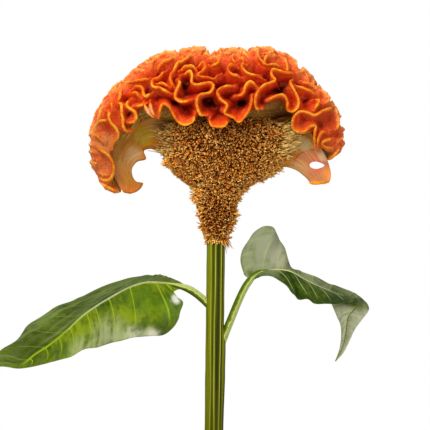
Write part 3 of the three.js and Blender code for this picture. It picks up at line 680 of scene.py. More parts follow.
# %% One wall
def add_wall(bm, share, angle, along):
    """One wall of the comb, from its rim down into the arch."""
    flare = 1 - (1 - DOWN) ** FLARE_CURVE
    spread_share, spread_angle = (
        rim[:, None] + (soften(rim, FLARE / RIM_STEP) - rim)[:, None] * flare for rim in (share, angle))
    teeth = sum(height * wander(comb_draw, along, length) for height, length in TEETH)
    top = top_share(angle)
    ends = np.minimum(along, along[-1] - along)
    sink = END_SINK * (1 - (1 - TOP_END_SINK) * top) * (1 - smoothstep(0, 4, ends))
    rim_reach = 1 + teeth * (1 + TOP_TEETH * top) - sink
    radius = rim_reach[:, None] + (under_share(share) - ROOT_SINK - rim_reach)[:, None] * DOWN
    middle = comb_points(spread_share, spread_angle, radius)
    across = unit(np.cross(np.gradient(middle, axis=0), np.gradient(middle, axis=1)))
    slim = 0.25 + 0.75 * smoothstep(0, 3, ends)
    uneven = 1 + UNEVEN_THICKNESS * wander(comb_draw, along, 1.3)
    half = HALF_THICKNESS * slim[:, None] * uneven[:, None]
    first = middle + across * half[:, :, None]
    second = middle - across * half[:, :, None]
    bead = middle[:, :1] + (middle[:, :1] - middle[:, 1:2]) * BEAD
    points = np.concatenate([first[:, ::-1], bead, second], axis=1)
    drop = np.linalg.norm(np.diff(middle, axis=1), axis=2).mean(axis=0)
    depth = np.concatenate([[0], np.cumsum(drop)])
    depth = np.concatenate([depth[::-1], [0], depth])[None]
    # Painted shade: the hollows count as deeper, so their colour is darker
    depth = depth + HOLLOW_SHADE * hollow_share(points) * smoothstep(0.5, 2, depth)
    # The top share is also how far the paler lit colour is painted on, as light from above
    add_sheet(bm, points, depth=depth, along=along[:, None], gold=0.0, salmon=top[:, None])


# %% All walls
comb_bm = start_mesh("depth", "along", "gold", "salmon")
for share, angle, along in rims:
    add_wall(comb_bm, share, angle, along)
turn_outwards(comb_bm)
print("walls of the comb in millimetres:", round(sum(along[-1] for _, _, along in rims)))

# %% [markdown]
# Between the rims the comb's surface sinks into cups. It is one closed skin round the arch. Each
# point of it knows how far the nearest rim is: close to a rim the skin rises towards it, and far
# from all rims it lies deep. Over the top the cups are shallow, and under the lowest rims the
# skin turns back into the flat golden stem. The walls alone would do for the face, but one
# skin under all of them leaves no gap to see through.

# %% Cups between the rims
CUP_FACE = 0.52
CUP_TOP = 0.8
CUP_LIP = 0.95
CUP_WIDTH = 3.2
CUP_LUMPS = ((5, 0.008), (2, 0.007))
HOLLOW_DEPTH = 0.25
CUP_TURNS = ((-90, -52, 13), (-50, 230, 212), (232, 270, 13))
UNDER_TURN = 0.22
END_TAPER = 0.012
cup_degrees = np.concatenate([np.linspace(*turns) for turns in CUP_TURNS])
cup_share = np.linspace(0, 1, EDGE_ROWS)[:, None]
share, angle = np.broadcast_arrays(cup_share, np.radians(cup_degrees))
outer = comb_points(share, angle, 1.0)
all_rims = rim_tree()
rim_along = np.concatenate([along for _, _, along in rims])
found = [all_rims.find(place) for place in outer.reshape(-1, 3)]
gap = np.array([distance for _, _, distance in found]).reshape(share.shape)
near_along = np.array([rim_along[row] for _, row, _ in found]).reshape(share.shape)

# %% Depth of the cups
face_low = face_edge[:, None]
below_rim = np.where(angle < math.pi / 2, angle - face_low, math.pi - angle - face_low[::-1])
under = smoothstep(0.0, -UNDER_TURN, below_rim)
over = top_share(angle)
near_end = smoothstep(0.2, 0.12, np.minimum(share, 1 - share))
deepest = CUP_FACE + (CUP_TOP - CUP_FACE) * np.maximum(over, 0.4 * near_end)
rise = np.exp(-((gap / CUP_WIDTH) ** 1.1))
level = deepest + (CUP_LIP - deepest) * rise
for size, height in CUP_LUMPS:
    lumps = comb_draw.normal(0, height, [count // size + 2 for count in share.shape])
    for count in share.shape:
        where = np.arange(count) / size
        lumps = np.array([np.interp(where, np.arange(len(line)), line) for line in lumps.T])
    level = level + (0.3 + over) * lumps
hollow = hollow_share(outer)
level = level - HOLLOW_DEPTH * hollow * (1 - 0.7 * rise)
level = level * (1 - under) + under_share(share) * under

# %% Skin of the cups
taper = np.sqrt(np.clip(np.minimum(share, 1 - share) / END_TAPER, 0, 1))
cup_points = comb_points(share, angle, level * np.maximum(taper, 1e-4))
reach = np.interp(cup_share, arch_share, arch[:, 1])
# Painted shade: the hollows count as deeper here too, so the cups darken there
depth = np.hypot(gap, (1 - level) * reach) + HOLLOW_SHADE * hollow
# Share of the paler colour painted on as light: over the top, and half of it near the arch's ends
salmon = np.maximum(over, 0.5 * near_end)
cup_bm = start_mesh("depth", "along", "gold", "salmon")
add_sheet(cup_bm, cup_points, depth=depth, along=near_along, gold=under, salmon=salmon)
weld(cup_bm)
turn_outwards(cup_bm)
print("deepest cup in millimetres:", round(depth.max(), 1))

# %% [markdown]
# The comb's colour follows the depth: gold on the bead, orange below it and dark red in the
# hollows, a red that is partly the comb's own and partly painted shade in the cups. Over the top a
# paler, pinkish orange copy of the colours is painted light from above, and pale patches on the
# flanks are painted highlights. Streaks run down from the rims as in velvet. The photo's paler and
# darker patches are soft spots, the left limb is tinted darker as painted shade, and the bare
# underside is golden, with painted shade where it meets the neck. An image could be painted on
# instead, but a colour that follows the depth fits every fold by itself.

# %% Finish of the comb
velvet = Finish("velvet_comb")
depth, along, gold, salmon = velvet.facts("depth", "along", "gold", "salmon")
fine = velvet.grain(1300)
coarse = velvet.grain(160, 2)
streak = velvet.noise(velvet.join(along, depth * 0.12), 2.2)
streaked = (streak - 0.5) * depth.math("MINIMUM", 3.5)
worn = velvet.grain(120, 2).band(0.48, 0.7)
deep = (depth + (coarse - 0.45) * 2.2 + streaked * 1.6 + worn * 0.8) * (1 / 13)
# The colour darkens with depth: partly the comb's own deep red, partly painted shade in the cups
flank = deep.ramp(
    (0, 242, 156, 38), (0.03, 234, 124, 18), (0.09, 222, 84, 10), (0.22, 214, 70, 10), (0.45, 200, 50, 6),
    (0.72, 154, 22, 0), (1, 84, 4, 0))
lit = deep.ramp(
    (0, 252, 172, 82), (0.05, 246, 146, 68), (0.14, 240, 124, 60), (0.35, 228, 98, 44), (0.65, 188, 50, 12),
    (1, 112, 14, 0))
# Painted highlights: pale pinkish orange patches on the flanks below the rims
painted_highlight = velvet.grain(210).band(0.5, 0.66) * deep.band(0.05, 0.14)
flank = velvet.mix(painted_highlight * 0.45, flank, linear(236, 110, 58))
ruddy = velvet.grain(300).band(0.5, 0.62)
lit = velvet.mix(ruddy * 0.7, lit, linear(206, 62, 14))
# Painted light: the paler lit colours over the top
skin = velvet.mix(salmon, flank, lit)
skin = velvet.dab(skin, (
    (-56, 252, 8, 0.75, 206, 102, 50), (-55, 265, 9, 0.75, 216, 128, 64), (-47, 277, 7, 0.75, 208, 74, 24),
    (54, 276, 13, 0.75, 188, 62, 14), (55, 259, 5, 0.75, 226, 158, 90), (-25, 278, 5, 0.75, 228, 140, 72),
    (-47, 241, 4, 0.75, 232, 180, 118)), deep.band(0.04, 0.2))
skin = velvet.dab(skin, [(-32.4, 280.5, 3.8, 0.85, 240, 172, 112)])
# Painted shade: the left limb is tinted darker
skin = velvet.tint(velvet.spot(-54, 262, 28), skin, factors(0.74, 0.86, 0.9))
skin = velvet.tint(velvet.spot(58, 270, 24), skin, factors(0.84, 0.74, 0.74))
golden = velvet.noise(velvet.join(along * 0.7, depth), 1.5)
golden = golden.ramp((0.3, 104, 62, 4), (0.5, 156, 108, 30), (0.7, 204, 164, 92))
# Painted shade: the golden underside is browner where it meets the neck at the right
golden = velvet.tint(velvet.spot(34, 273, 16), golden, linear(140, 84, 20))
skin = velvet.mix(gold, skin, golden)
mottle = fine.ramp((0.32, 0.64, 0.5, 0.36), (0.68, 1.2, 1.4, 1.5), kind=factors)
velvet.set(Base_Color=velvet.tint(0.75, skin, mottle), Roughness=0.65, Specular_IOR_Level=0.12)
velvet.bump(streak * 0.6 + fine, 0.0006, 0.8)
finish_piece("comb_walls", comb_bm, velvet.material, ["crest"])
finish_piece("comb_cups", cup_bm, velvet.material, ["crest"])

# %% [markdown]
# ## Neck of florets
# Under the comb the neck is a dense coat of tiny dry bracts that stand out from it. A dark body
# carries them. The bracts are cut from one long ladder of cells, a few cells each, and every one
# is laid along its own direction. Each could be an object of its own, but one mesh of them all
# is much quicker to handle.

# %% Body of the neck
BODY_SINK = 0.8
BODY_SIDES = 72
BODY_ROWS = 50
NECK_SAMPLES = 1001

# Height above the neck's foot, left edge, right edge and half depth
NECK_SECTIONS = [
    [0, -4.2, 5, 4.4], [4, -5.6, 7.6, 5.6], [12, -7.4, 9.8, 7.2], [20, -9.4, 11.4, 8.2],
    [26, -11.5, 16, 9.6], [32, -18.5, 26.5, 12], [38, -23.5, 33.5, 14.5], [46, -26, 37, 17],
    [54, -27, 38, 18.5], [61, -20, 28, 12],
]
neck_edges = smooth_curve([[left, right, up] for up, left, right, _ in NECK_SECTIONS], NECK_SAMPLES)
neck_depths = smooth_curve([[deep, 0, up] for up, _, _, deep in NECK_SECTIONS], NECK_SAMPLES)
neck_share = np.linspace(0, 1, NECK_SAMPLES)


def neck_points(angle, share, swell):
    left, right, up = (np.interp(share, neck_share, column) for column in neck_edges.T)
    deep = np.interp(share, neck_share, neck_depths[:, 0])
    across = (left + right) / 2 + ((right - left) / 2 + swell) * np.cos(angle)
    return points_from(across, (deep + swell) * np.sin(angle), NECK_FOOT + up)


neck_bm = start_mesh("tip", "pale", "body")
rows = np.linspace(0, 1, BODY_ROWS)[:, None]
body_points = neck_points(np.linspace(0, 2 * np.pi, BODY_SIDES + 1), rows, -BODY_SINK)
centres = body_points.mean(axis=1, keepdims=True)
closing = np.where((rows == 0) | (rows == 1), 1e-4, 1)
add_sheet(neck_bm, centres + (body_points - centres) * closing[:, None], tip=0.0, pale=0.0, body=1.0)
weld(neck_bm)

# %% [markdown]
# Most bracts are short and point outwards at any slant. At both sides they grow in longer tufts,
# at the foot some hang down beside the stem, and where the neck meets the webs many are long,
# narrow pale hairs that point outwards and up.

# %% Bracts of the neck
BRACTS = 24000
BRACT_ROWS = 4
BRACT_COLUMNS = 2
BRACT_OUTLINE = np.array([0.5, 0.9, 1.0, 0.4])
BRACT_ROOT = 0.9
BRACT_LENGTH = (1.1, 2.1)
BRACT_HALF_WIDTH = (0.26, 0.5)
BRACT_LEAN = (0.0, 0.85)
BRACT_CURL = (-0.3, 0.6)
BRACT_CUP = 0.3
TUFT_SIZE = 0.022
TUFT_GROWTH = 1.7
HANG_CHANCE = 0.5
HANG_PULL = 1.6
HAIR_BAND = (0.73, 0.94)
HAIR_SIDE = 0.78
HAIR_CHANCE = 0.6
HAIR_GROWTH = (1.2, 4)
LEFT_HAIR = 0.6
HAIR_WIDTH = 0.5
HAIR_PALE = 0.15
bract_draw = np.random.default_rng(5)
share = bract_draw.uniform(0, 1, BRACTS * 4)
angle = bract_draw.uniform(0, 2 * np.pi, BRACTS * 4)
widths = np.interp(share, neck_share, neck_edges[:, 1] - neck_edges[:, 0])
kept = np.flatnonzero(bract_draw.uniform(0, widths.max() * 1.02, len(share)) < widths)[:BRACTS]
share = share[kept]
angle = angle[kept]
count = len(kept)


# %% Directions and lengths of the bracts
def drawn(low, high):
    return bract_draw.uniform(low, high, count)


sideward = np.cos(angle)
root = neck_points(angle, share, -BRACT_ROOT)
outward = unit(neck_points(angle, share, 1.0) - root)
around = unit(np.cross(outward, bract_draw.normal(0, 1, (count, 3))))
lean = drawn(*BRACT_LEAN)[:, None]
heading = outward * np.cos(lean) + around * np.sin(lean)
size = drawn(*BRACT_LENGTH)
tuft = smoothstep(-0.3, 0.8, wander(bract_draw, share + (sideward > 0), TUFT_SIZE))
size = size * (1 + TUFT_GROWTH * tuft * smoothstep(0.7, 1, np.abs(sideward)) * drawn(0, 1))

hanging = (share < 0.03 + 0.04 * (sideward > 0.5)) & (drawn(0, 1) < HANG_CHANCE)
heading[hanging] += [0, 0, -HANG_PULL]
heading = unit(heading)
size[hanging] *= 1.5 + 0.9 * (sideward[hanging] > 0.5)

in_band = (share > HAIR_BAND[0]) & (share < HAIR_BAND[1])
hair = in_band & (np.abs(sideward) > HAIR_SIDE) & (drawn(0, 1) < HAIR_CHANCE)
hair_side = np.sign(sideward[hair])
heading[hair] = 0.45 * heading[hair] + points_from(hair_side, -0.1, 0.35)
heading = unit(heading)
size[hair] *= bract_draw.uniform(*HAIR_GROWTH, hair.sum()) * np.where(hair_side < 0, LEFT_HAIR, 1)
sideways = unit(np.cross(heading, outward))
upward = np.cross(sideways, heading)
width = drawn(*BRACT_HALF_WIDTH) * np.where(hair, HAIR_WIDTH, 1)
curl = drawn(*BRACT_CURL)
pale = np.where(hair, HAIR_PALE, drawn(0, 1))
print("bracts on the neck:", count, "of which hairs:", hair.sum())


# %% Shapes of the bracts
def per_bract(values):
    """The same values, ready to be spread over the rows and columns of every bract."""
    return values.reshape(count, 1, 1, -1)


step = np.linspace(0, 1, BRACT_ROWS)
step_row = step[:, None, None]
side = np.linspace(-1, 1, BRACT_COLUMNS)[:, None]
half = per_bract(width) * BRACT_OUTLINE[:, None, None]
bracts = per_bract(root) + per_bract(heading) * (per_bract(size) * step_row)
bracts = bracts + per_bract(sideways) * half * side
bracts = bracts + per_bract(upward) * (per_bract(curl) * step_row**2 + BRACT_CUP * half * side**2)
ladder = add_sheet(
    neck_bm, bracts.reshape(-1, BRACT_COLUMNS, 3),
    tip=np.tile(step, count)[:, None], pale=np.repeat(pale, BRACT_ROWS)[:, None], body=0.0)

# %% [markdown]
# So far the ladder still joins the tip of each bract to the root of the next one. These cells
# are deleted, and with them the edges that no face uses any more.

# %% Cut the ladder into single bracts
row_of = {corner: index // BRACT_COLUMNS for index, corner in enumerate(ladder)}
cells = [face for face in neck_bm.faces if face.verts[0] in row_of]
first_row = [min(row_of[corner] for corner in cell.verts) for cell in cells]
between = [cell for cell, row in zip(cells, first_row) if row % BRACT_ROWS == BRACT_ROWS - 1]
bmesh.ops.delete(neck_bm, geom=between, context="FACES_ONLY")
loose = [edge for edge in neck_bm.edges if not edge.link_faces]
bmesh.ops.delete(neck_bm, geom=loose, context="EDGES")
print("cells cut away:", len(between))

# %% [markdown]
# A dry bract is dark at its root and pale as straw at its tip, and some clumps are rusty or
# darker. The dark root is partly painted shade between the bracts. A ramp along the bract and a
# few kinds of noise give this to all of them at once, where an image would need each bract
# unwrapped. The body is painted dark as the shade between the bracts, and a few spots add painted
# shade below the comb and at the foot.

# %% Finish of the florets
chaff = Finish("golden_chaff")
tip, pale, body = chaff.facts("tip", "pale", "body")
# The dark root of each bract is partly painted shade between the bracts
straw = tip.ramp((0.15, 56, 10, 0), (0.4, 148, 72, 0), (0.65, 250, 194, 90), (1, 255, 240, 164))
rust = tip.ramp((0.15, 60, 10, 0), (0.45, 154, 66, 0), (1, 244, 172, 62))
mixed = chaff.mix((pale + chaff.grain(60, 2)).band(0.7, 1.3), straw, rust)
shade = pale * 0.7 + 0.68
mixed = chaff.tint(1.0, mixed, chaff.join(shade, shade, shade))
clumps = chaff.grain(750, 2).ramp((0.4, 0.64, 0.45, 0.3), (0.58, 1.2, 1.25, 1.25), kind=factors)
mixed = chaff.tint(1.0, mixed, clumps)
# Painted shade: the neck is darker in a shadowed streak below the comb, at its upper left and at its foot
for across, up, size in ((9, 267, 14), (-23, 270, 10), (2, 226, 16)):
    mixed = chaff.tint(chaff.spot(across, up, size), mixed, factors(0.76, 0.68, 0.6))
# Painted shade: the body between the bracts is dark brown
mixed = chaff.mix(body, mixed, linear(94, 34, 0))
chaff.set(Base_Color=mixed, Roughness=0.7, Specular_IOR_Level=0.06)
finish_piece("florets_fine", neck_bm, chaff.material, ["florets"])

# %% [markdown]
# ## Stem
# The stem is a straight column with uneven ribs: each row of its grid is its outline at one
# height. Every rib carries a thin cream line, and the skin between the ribs is green. Below the
# right leaf its stalk runs on down the stem as a low ridge. Bump on a plain cylinder could show
# ribs as well, but its outline would stay smooth.

# %% Stem
STEM_FOOT = 42
STEM_TOP = 229
STEM_RADIUS = 4.15
STEM_SIDES = 168
STEM_ROWS = 240
SOIL_LEVEL = 99
RIB_HEIGHT = 0.45
RIB_WIDTH = 8.5
RIB_SWAY = 4
LINE_WIDTH = 2.6
RIDGE_HEIGHT = 1.3
RIDGE_TURN = 82

# Ribs: degrees from the front at the stem's top and at its foot, and how strong the line is
STEM_RIBS = [
    [-86, -80, 0.35], [-68, -62, 0.1], [-52, -46, 0.3], [-41, -33, 0.05], [-31, -21, 0.7], [-3, 4, 0.75],
    [38, 31, 1], [67, 61, 0.35],
    [96, 92, 0.6], [126, 124, 0.8], [156, 150, 0.5], [187, 183, 0.9], [218, 214, 0.6], [246, 244, 0.8],
]


def stem_across(height):
    return 0.5 - 1.5 * (NECK_FOOT - np.minimum(height, NECK_FOOT)) / (NECK_FOOT - SOIL_LEVEL)


def bell(turn, centre, width):
    """1 where the turn meets the centre, in degrees, and falling to 0 on both sides of it."""
    return np.exp(-(((turn - centre + 180) % 360 - 180) / width) ** 2)


# %% Shape of the stem
stem_bm = start_mesh("line", "rib", "blush")
from_front = np.linspace(0, 360, STEM_SIDES + 1)[None]
height = np.linspace(STEM_FOOT, STEM_TOP, STEM_ROWS)[:, None]
up_share = (height - STEM_FOOT) / (STEM_TOP - STEM_FOOT)
stem_draw = np.random.default_rng(3)
rib = 0 * from_front * height
line = 0 * rib
for at_top, at_foot, strong in STEM_RIBS:
    centre = at_foot + (at_top - at_foot) * up_share
    centre = centre + RIB_SWAY * wander(stem_draw, height - STEM_FOOT, 26)
    rib = np.maximum(rib, bell(from_front, centre, RIB_WIDTH))
    line = np.maximum(line, strong * bell(from_front, centre, LINE_WIDTH))
running_on = smoothstep(96, 160, height) * smoothstep(176, 166, height)
ridge = running_on * bell(from_front, RIDGE_TURN, 15)
line = np.maximum(line, 0.5 * running_on * bell(from_front, RIDGE_TURN - 8, 12))
# Painted shade: a browner, darker band down the stem's right side, away from the light
blush = bell(from_front, RIDGE_TURN + 14, 26) * (1 - running_on)
radius = STEM_RADIUS + RIB_HEIGHT * rib + RIDGE_HEIGHT * ridge
radius = radius + 0.08 * wander(stem_draw, height - STEM_FOOT, 7)
bearing = np.radians(from_front - 90)
stem_points = points_from(stem_across(height) + radius * np.cos(bearing), radius * np.sin(bearing), height)
add_sheet(stem_bm, stem_points, line=line, rib=rib, blush=blush)
weld(stem_bm, fill=True)
turn_outwards(stem_bm)

# %% [markdown]
# The stem is dark olive in its grooves and lighter on its ribs, with a cream line along each
# rib, and its right side is painted browner and darker as shade. An image could show the lines,
# but as facts of the mesh they stay on their ribs, and long noise makes them uneven, as they grow.

# %% Finish of the stem
ribbed = Finish("ribbed_stem")
rib, line, blush = ribbed.facts("rib", "line", "blush")
streak = ribbed.noise(ribbed.scaled(900, 900, 26), 1)
uneven = (streak - 0.5) * 0.9
skin = (rib + uneven).ramp((0, 40, 48, 0), (0.45, 76, 84, 0), (1, 114, 118, 0))
skin = ribbed.mix((line + uneven * 0.5).band(0.3, 1), skin, linear(206, 190, 94))
skin = ribbed.mix((blush + uneven * 0.3).band(0.3, 1) * 0.75, skin, linear(98, 62, 4))
ribbed.set(Base_Color=skin, Roughness=0.5, Specular_IOR_Level=0.08)
ribbed.bump(streak, 0.0003, 0.5)
finish_piece("stem_ribbed", stem_bm, ribbed.material, ["stem"])

# %% [markdown]
# ## Webs
# At both ends of the comb the flat stem shows as a pale web. Each web is a closed sheet between a
# free edge and the arch: thin at the free edge and thicker where it meets the comb. The left one
# ends in a hook, and the right one has a hole. A web could be cut from a flat plate, but a sheet
# between two traced edges follows both of them and gets its thickness on the way.

# %% Webs
WEB_ROWS = 170
WEB_EDGE = 0.25
WEB_THICK = 5.0


def web_wave(x, z):
    return 1.2 * np.sin(x / 7 + 0.6) * np.minimum(1, np.abs(x) / 40) * np.cos(z / 30)


def add_web(bm, free_edge, rooted_edge, columns, right):
    """A web between its free edge and the comb. Right is 0 for the left web and 1 for the right one."""
    free = smooth_curve(free_edge, WEB_ROWS)[:, None]
    rooted = smooth_curve(rooted_edge, WEB_ROWS)[:, None]
    over = np.linspace(0, 1, columns)
    along = np.linspace(0, 1, WEB_ROWS)[:, None]
    flat = free * (1 - over)[:, None] + rooted * over[:, None]
    swelling = 0.8 + WEB_THICK * over**1.4 * (1 - 0.8 * along)
    half = WEB_EDGE + swelling * smoothstep(0, 0.12, over) ** 0.5
    half = half * (0.35 + 0.65 * smoothstep(0, 0.06, 1 - along))
    wave = web_wave(flat[..., 0], flat[..., 1])
    front, behind = (
        points_from(flat[..., 0], wave + way * half, NECK_FOOT + flat[..., 1]) for way in (-1, 1))
    points = np.concatenate([front, behind[:, ::-1], front[:, :1]], axis=1)
    over_all = np.concatenate([over, over[::-1], over[:1]])
    add_sheet(bm, points, over=over_all, length=along, right=right)


web_bm = start_mesh("over", "length", "right")
add_web(
    web_bm,
    [[-3, 20], [-12, 34], [-23, 43], [-28, 44.5], [-32, 45.5], [-35.5, 44.5], [-34.5, 40.5], [-39, 39],
     [-41.5, 35.5], [-41, 31.5], [-39, 29], [-36, 28.5], [-37, 26], [-39.5, 24], [-42.5, 23]],
    [[5, 66], [-8, 67], [-18, 68], [-26, 67.5], [-33, 66], [-40, 62], [-46, 56], [-49, 50],
     [-51, 44], [-51.5, 38], [-51, 33.5], [-49.5, 30], [-48, 27], [-46.5, 24.8], [-45.5, 23.6]],
    26, 0.0)
add_web(
    web_bm,
    [[6, 14], [15, 30], [24, 34], [31, 36], [35, 36.5], [37.5, 36], [41, 34.6], [44, 32.4], [46, 30.6],
     [47, 29.2], [47.4, 28.2], [49.5, 27.6], [55, 28]],
    [[5, 66], [18, 67], [28, 67], [36, 64], [42, 60], [47, 55], [51, 49], [54, 44], [55.8, 40.5],
     [57, 37], [57.8, 33.5], [57.6, 30.5], [57, 28.7]],
    30, 1.0)
weld(web_bm, fill=True)
print("faces of the webs:", len(web_bm.faces))

# %% [markdown]
# The hole goes through both skins of the right web. The faces inside it are deleted, its rim is
# moved onto an ellipse with one pointed end, and a bridge joins the front to the back. A boolean
# modifier could cut it too, but would leave thin slivers round the rim.

# %% Hole in the right web
HOLE_CENTRE = np.array([50.9, NECK_FOOT + 37.4])
HOLE_HALF = np.array([3.7, 1.9])


def from_hole(place):
    """A place in the front view, measured from the hole's centre in half widths of the hole."""
    return (np.array([place.x, place.z]) / MM - HOLE_CENTRE) / HOLE_HALF


bored = [face for face in web_bm.faces if np.linalg.norm(from_hole(face.calc_center_median())) < 1]
bmesh.ops.delete(web_bm, geom=bored, context="FACES")
rim_edges = boundary(web_bm)
for corner in {corner for edge in rim_edges for corner in edge.verts}:
    across, up = unit(from_hole(corner.co))
    pointed = max(0, across)
    corner.co.x = (HOLE_CENTRE[0] + across * HOLE_HALF[0] * (1 + 0.1 * pointed)) * MM
    corner.co.z = (HOLE_CENTRE[1] + up * HOLE_HALF[1] * (1 - 0.4 * pointed)) * MM
bmesh.ops.bridge_loops(web_bm, edges=rim_edges)
turn_outwards(web_bm)
print("edges round the hole:", len(rim_edges))

# %% [markdown]
# The webs are fibrous: pale lines and threads run through them to their ends. Noise could be
# stretched in one direction for that, but here it is laid out along the web, so that the lines
# bend with it. A ramp runs from the golden neck to the orange end, and spots add the patches.

# %% Finish of the webs
webbing = Finish("striped_web")
length, over, right = webbing.facts("length", "over", "right")


def stripes(along_scale, over_scale, side_scale, detail=3.0):
    """Noise in long lines that follow the web from the neck to its end."""
    where = webbing.join(length * along_scale, over * over_scale, right * side_scale)
    return webbing.noise(where, 1, detail)


lines = stripes(2.6, 46, 5, 5)
threads = stripes(6, 95, 9)
patch = webbing.grain(90, 2)
wandering = length + (patch - 0.5) * 0.25
left_colour = wandering.ramp(
    (0, 132, 74, 2), (0.3, 168, 96, 0), (0.45, 180, 108, 12), (0.6, 174, 116, 48), (0.78, 170, 102, 36),
    (1, 222, 112, 22))
right_colour = wandering.ramp(
    (0, 132, 76, 2), (0.4, 186, 116, 22), (0.55, 210, 152, 66), (0.66, 200, 134, 82), (0.86, 206, 130, 80),
    (1, 232, 116, 20))
skin = webbing.mix(right, left_colour, right_colour)
skin = webbing.dab(skin, (
    (-36, 269, 8, 0.85, 166, 138, 8), (-45, 267, 7, 0.85, 160, 106, 26), (-41, 260, 6, 0.85, 188, 146, 94),
    (-49, 249, 6, 0.85, 182, 106, 52), (-44, 248, 4, 0.85, 168, 112, 18), (-29, 272, 7, 0.85, 156, 116, 40),
    (39, 266, 7, 0.85, 238, 202, 118), (33, 258, 6, 0.85, 210, 150, 46)))
skin = webbing.mix(webbing.inside(48, 253, 9.8), skin, linear(180, 76, 30))
skin = webbing.mix(webbing.inside(48.5, 252.5, 9.5), skin, linear(190, 120, 72))
skin = webbing.dab(skin, (
    (51, 254.5, 6.5, 0.85, 206, 88, 62), (57, 250, 5, 0.85, 232, 136, 48), (42, 253, 6, 0.85, 186, 136, 80),
    (54.5, 259, 4, 0.85, 238, 200, 146), (45, 264.5, 4.5, 0.85, 208, 188, 132)))
striped = lines.ramp((0.3, 0.62, 0.56, 0.46), (0.5, 0.95, 0.95, 0.95), (0.66, 1.3, 1.34, 1.4), kind=factors)
skin = webbing.tint(0.8, skin, striped)
fibre = threads.band(0.54, 0.68) * patch.band(0.36, 0.56)
skin = webbing.mix(fibre * 0.6, skin, linear(226, 206, 158))
lip = [(across, 244.9, 2.2, 1, 252, 150, 24) for across in (48, 49.8, 51.6, 53.4, 55.2, 57)]
skin = webbing.dab(skin, lip)
webbing.set(Base_Color=skin, Roughness=0.55, Specular_IOR_Level=0.08)
webbing.bump(lines, 0.0006, 0.7)
finish_piece("webs", web_bm, webbing.material, ["stem"])

# %% [markdown]
# ## Leaves
# A leaf is a thin blade between three guide lines: its near edge, its midrib and its far edge.
# Both faces are one closed sheet that is thinnest at the edge. Side veins run from the midrib
# towards the tip, and the blade puckers up between them. A flat leaf could be bent into shape,
# but guide lines put its outline where the photograph shows it.

# %% Guide lines of the leaves: near edge, midrib and far edge as seen from the front
LEFT_LEAF = {
    "near": [
        [-13.9, -1.2, 191.7], [-18.5, -1.6, 192.3], [-22, -2.5, 189.6], [-19.5, -4.5, 188],
        [-16, -6, 186.2], [-17.4, -7.5, 181.2], [-18.3, -8.5, 177.1], [-20.9, -9.2, 172.8],
        [-26, -9.6, 169.8], [-32.5, -10, 169.3], [-40.5, -10, 168.2], [-51, -9.8, 166.3],
        [-59, -9.3, 163.9], [-66, -8.8, 162.2], [-73.5, -8.4, 158.4], [-82.5, -7.4, 155.6],
        [-90.5, -5.8, 153.6], [-98.3, -3.6, 152.7], [-107.5, -2.6, 153.7], [-117.3, -2.1, 150.5]],
    "rib": [
        [-13.5, -1, 192.6], [-17.5, -1.2, 193.9], [-20.5, -1.5, 194.6], [-22, -1.6, 194.9],
        [-23.5, -1.8, 195.2], [-25, -1.9, 195.4], [-26.5, -2, 195.6], [-28.5, -2.1, 195.8],
        [-31, -2.2, 195.9], [-35, -2.4, 195.7], [-42.3, -3, 193.5], [-52.6, -3.5, 188], [-60, -4, 183.4],
        [-66, -4, 179.1], [-73.2, -4, 172.3], [-81.4, -4, 165.4], [-89.7, -3.5, 159.9], [-98, -3, 154],
        [-107.5, -2.4, 154.3], [-117.4, -2, 150.8]],
    "far": [
        [-13, -0.5, 193.2], [-17.6, 2, 195.9], [-22, 6, 197.8], [-24, 8, 198.6], [-26, 10, 199.3],
        [-28, 12, 199.6], [-30, 14, 199.7], [-32, 16, 199.7], [-34.5, 18, 199.5], [-38.5, 20, 199],
        [-46, 21.5, 197.3], [-56, 21.5, 194], [-63.6, 20, 190.1], [-70, 18.5, 186.5], [-78.5, 16, 183.7],
        [-86, 13.5, 179], [-93.5, 10.5, 173.8], [-98.6, 7, 167], [-107.5, 2.5, 161.6],
        [-117.4, -1.8, 151.1]],
    "stalk": [
        [-2, 0, 183.5], [-6, -0.3, 187.3], [-9.5, -0.6, 190.2], [-13.5, -1, 192.6]],
    "near_veins": [4.8, 7.3, 10.04, 11.05, 12, 12.67, 13.9, 14.6, 15.4, 16.3],
    "far_veins": [6.5, 8.3, 10, 11.2, 12.7, 14.2, 15.4, 16.4],
    "near_lean": 0,
    "far_lean": 22,
    "upper_side": 1,
}
